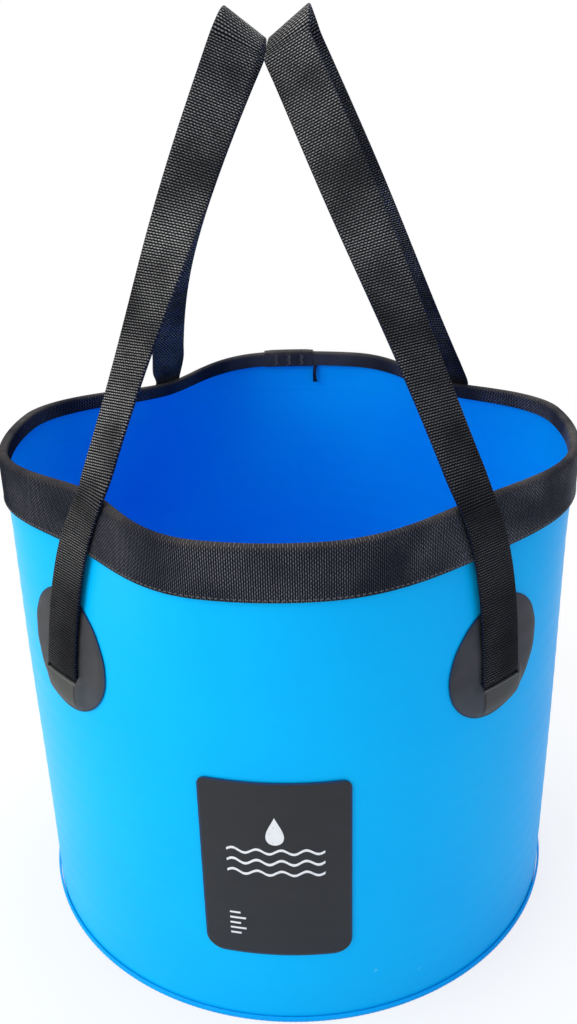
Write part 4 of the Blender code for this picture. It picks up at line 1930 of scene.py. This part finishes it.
@dataclass(frozen=True)
class Lamp:
    """One square soft lamp that faces the bucket."""

    name: str
    place: tuple[float, float, float]
    size: float
    power: float
    colour: Colour = WHITE

    def hang(self) -> None:
        """Hangs the lamp."""
        data = bpy.data.lights.new(self.name, "AREA")
        data.shape = "SQUARE"
        data.size = self.size
        data.energy = self.power
        data.color = self.colour
        lamp = bpy.data.objects.new(self.name, data)
        aim = Vector((0, 0, FORM.height / 2)) - Vector(self.place)
        turn = aim.to_track_quat("-Z", "Y").to_matrix().to_4x4()
        lamp.matrix_world = Matrix.Translation(self.place) @ turn
        bpy.context.scene.collection.objects.link(lamp)


@dataclass
class Studio:
    """The floor, the lamps, the world and the camera."""

    camera_distance: float = 0.4454
    camera_height: float = 0.3845
    camera_turn: float = math.radians(4.2)
    camera_yaw: float = math.radians(0.1)
    camera_pitch: float = math.radians(23.89)
    camera_roll: float = math.radians(1.517)
    lens: float = 35.574
    sensor: float = 36.0
    floor_size: float = 6.0
    shadow_reach: float = 0.42
    world_level: float = 0.41
    clip_start: float = 0.01
    lamps: tuple[Lamp, ...] = (
        Lamp("key_lamp", (-1.2, -0.85, 1.15), 1.6, 22.0),
        Lamp("fill_lamp", (1.3, -0.7, 0.7), 1.1, 3.5, (0.14, 0.32, 1.0)),
        Lamp("back_lamp", (0.2, 1.4, 1.1), 1.0, 6.0),
        Lamp("top_lamp", (0.0, 0.15, 1.7), 0.8, 12.0),
    )

    def build(self) -> None:
        """Sets the whole stage."""
        self.place_camera()
        self.lay_floor()
        self.light_world()
        for lamp in self.lamps:
            lamp.hang()
        bpy.context.scene.view_settings.view_transform = "Standard"

    def place_camera(self) -> None:
        """Puts the camera where the photograph was taken from."""
        data = bpy.data.cameras.new("photo_camera")
        data.sensor_fit = "VERTICAL"
        data.sensor_height = self.sensor
        data.lens = self.lens
        data.clip_start = self.clip_start
        camera = bpy.data.objects.new("photo_camera", data)
        place = Vector((0, -self.camera_distance, self.camera_height))
        around = Matrix.Rotation(self.camera_turn, 4, "Z")
        aim = Matrix.Rotation(self.camera_turn + self.camera_yaw, 4, "Z")
        tip = Matrix.Rotation(math.pi / 2 - self.camera_pitch, 4, "X")
        roll = Matrix.Rotation(-self.camera_roll, 4, "Z")
        camera.matrix_world = Matrix.Translation(around @ place) @ aim @ tip @ roll
        bpy.context.scene.collection.objects.link(camera)
        bpy.context.scene.camera = camera

    def lay_floor(self) -> None:
        """A plain pale floor that takes the bucket's shadow."""
        bm = bmesh.new()
        bmesh.ops.create_grid(bm, x_segments=1, y_segments=1, size=self.floor_size / 2)
        paint = Paint("studio_floor")
        paint.finish(Base_Color=(0.90, 0.90, 0.90), Roughness=0.9)
        glow = paint.node("ShaderNodeEmission", None, {"Color": (1.0, 1.0, 1.0, 1.0), "Strength": 1.0})
        rays = paint.node("ShaderNodeLightPath", None, None, "Is Camera Ray")
        place = paint.node("ShaderNodeTexCoord", None, None, "Object")
        away = paint.node("ShaderNodeVectorMath", {"operation": "LENGTH"}, {0: place}, "Value")
        share = away.smooth(self.shadow_reach * 0.4, self.shadow_reach) * 0.25 + 0.75
        surface = Socket(paint, paint.shader.outputs[0])
        mixed = paint.node("ShaderNodeMixShader", None, {0: rays * share, 1: surface, 2: glow})
        end = paint.tree.nodes["Material Output"]
        paint.tree.links.new(mixed.output, end.inputs["Surface"])
        mesh = bpy.data.meshes.new("studio_floor")
        bm.to_mesh(mesh)
        bm.free()
        mesh.materials.append(paint.material)
        floor = bpy.data.objects.new("studio_floor", mesh)
        bpy.context.scene.collection.objects.link(floor)

    def light_world(self) -> None:
        """A soft pale world, plain white to the camera."""
        world = bpy.data.worlds.new("studio_world")
        world.use_nodes = True
        bpy.context.scene.world = world
        tree = world.node_tree
        background = tree.nodes["Background"]
        background.inputs["Color"].default_value = (1.0, 1.0, 1.0, 1.0)
        rays = tree.nodes.new("ShaderNodeLightPath")
        strength = tree.nodes.new("ShaderNodeMapRange")
        strength.inputs["To Min"].default_value = self.world_level
        strength.inputs["To Max"].default_value = 1.0
        tree.links.new(rays.outputs["Is Camera Ray"], strength.inputs["Value"])
        tree.links.new(strength.outputs["Result"], background.inputs["Strength"])


# The whole scene


def build_patches(webbing: bpy.types.Material) -> None:
    """Builds the four patches and the strap ends under them, of this webbing.

    Args:
        webbing: the strap ends' material.
    """
    for label, side in (("left", -1), ("right", 1)):
        for end, azimuth in (("front", FORM.patch_azimuth), ("back", math.pi - FORM.patch_azimuth)):
            name = f"{label}_{end}_patch"
            Patch(f"{name}_sheet", name, f"{label}_{end}_strap_tail", side * azimuth).build(webbing)


def handles() -> tuple[Handle, Handle]:
    """The left and the right handle.

    Returns:
        Both handles.
    """
    left = Handle(
        "left", -1, apex_x=-0.0132, front_x=-0.0171, back_x=-0.0158, front_rim=math.radians(38.5),
        back_rim=math.radians(136.5), front_bow=0.0012, back_bow=0.0103,
    )
    # The right strap's painted shade reaches further up from its ends.
    right = Handle(
        "right", 1, apex_x=0.0048, front_x=0.0042, back_x=0.0077, front_rim=math.radians(39.8),
        back_rim=math.radians(130.2), front_bow=0.0010, back_bow=0.0003, end_shade_to=0.280,
    )
    return left, right


def main() -> None:
    """Builds the scene in order."""
    logging.basicConfig(level=logging.INFO)
    Studio().build()
    Wall().build()
    Base().build()
    Label().build()
    RimWebbing().build()
    left, right = handles()
    build_patches(left.webbing("strap_end_webbing"))
    left.build()
    right.build()


if __name__ == "__main__":
    main()
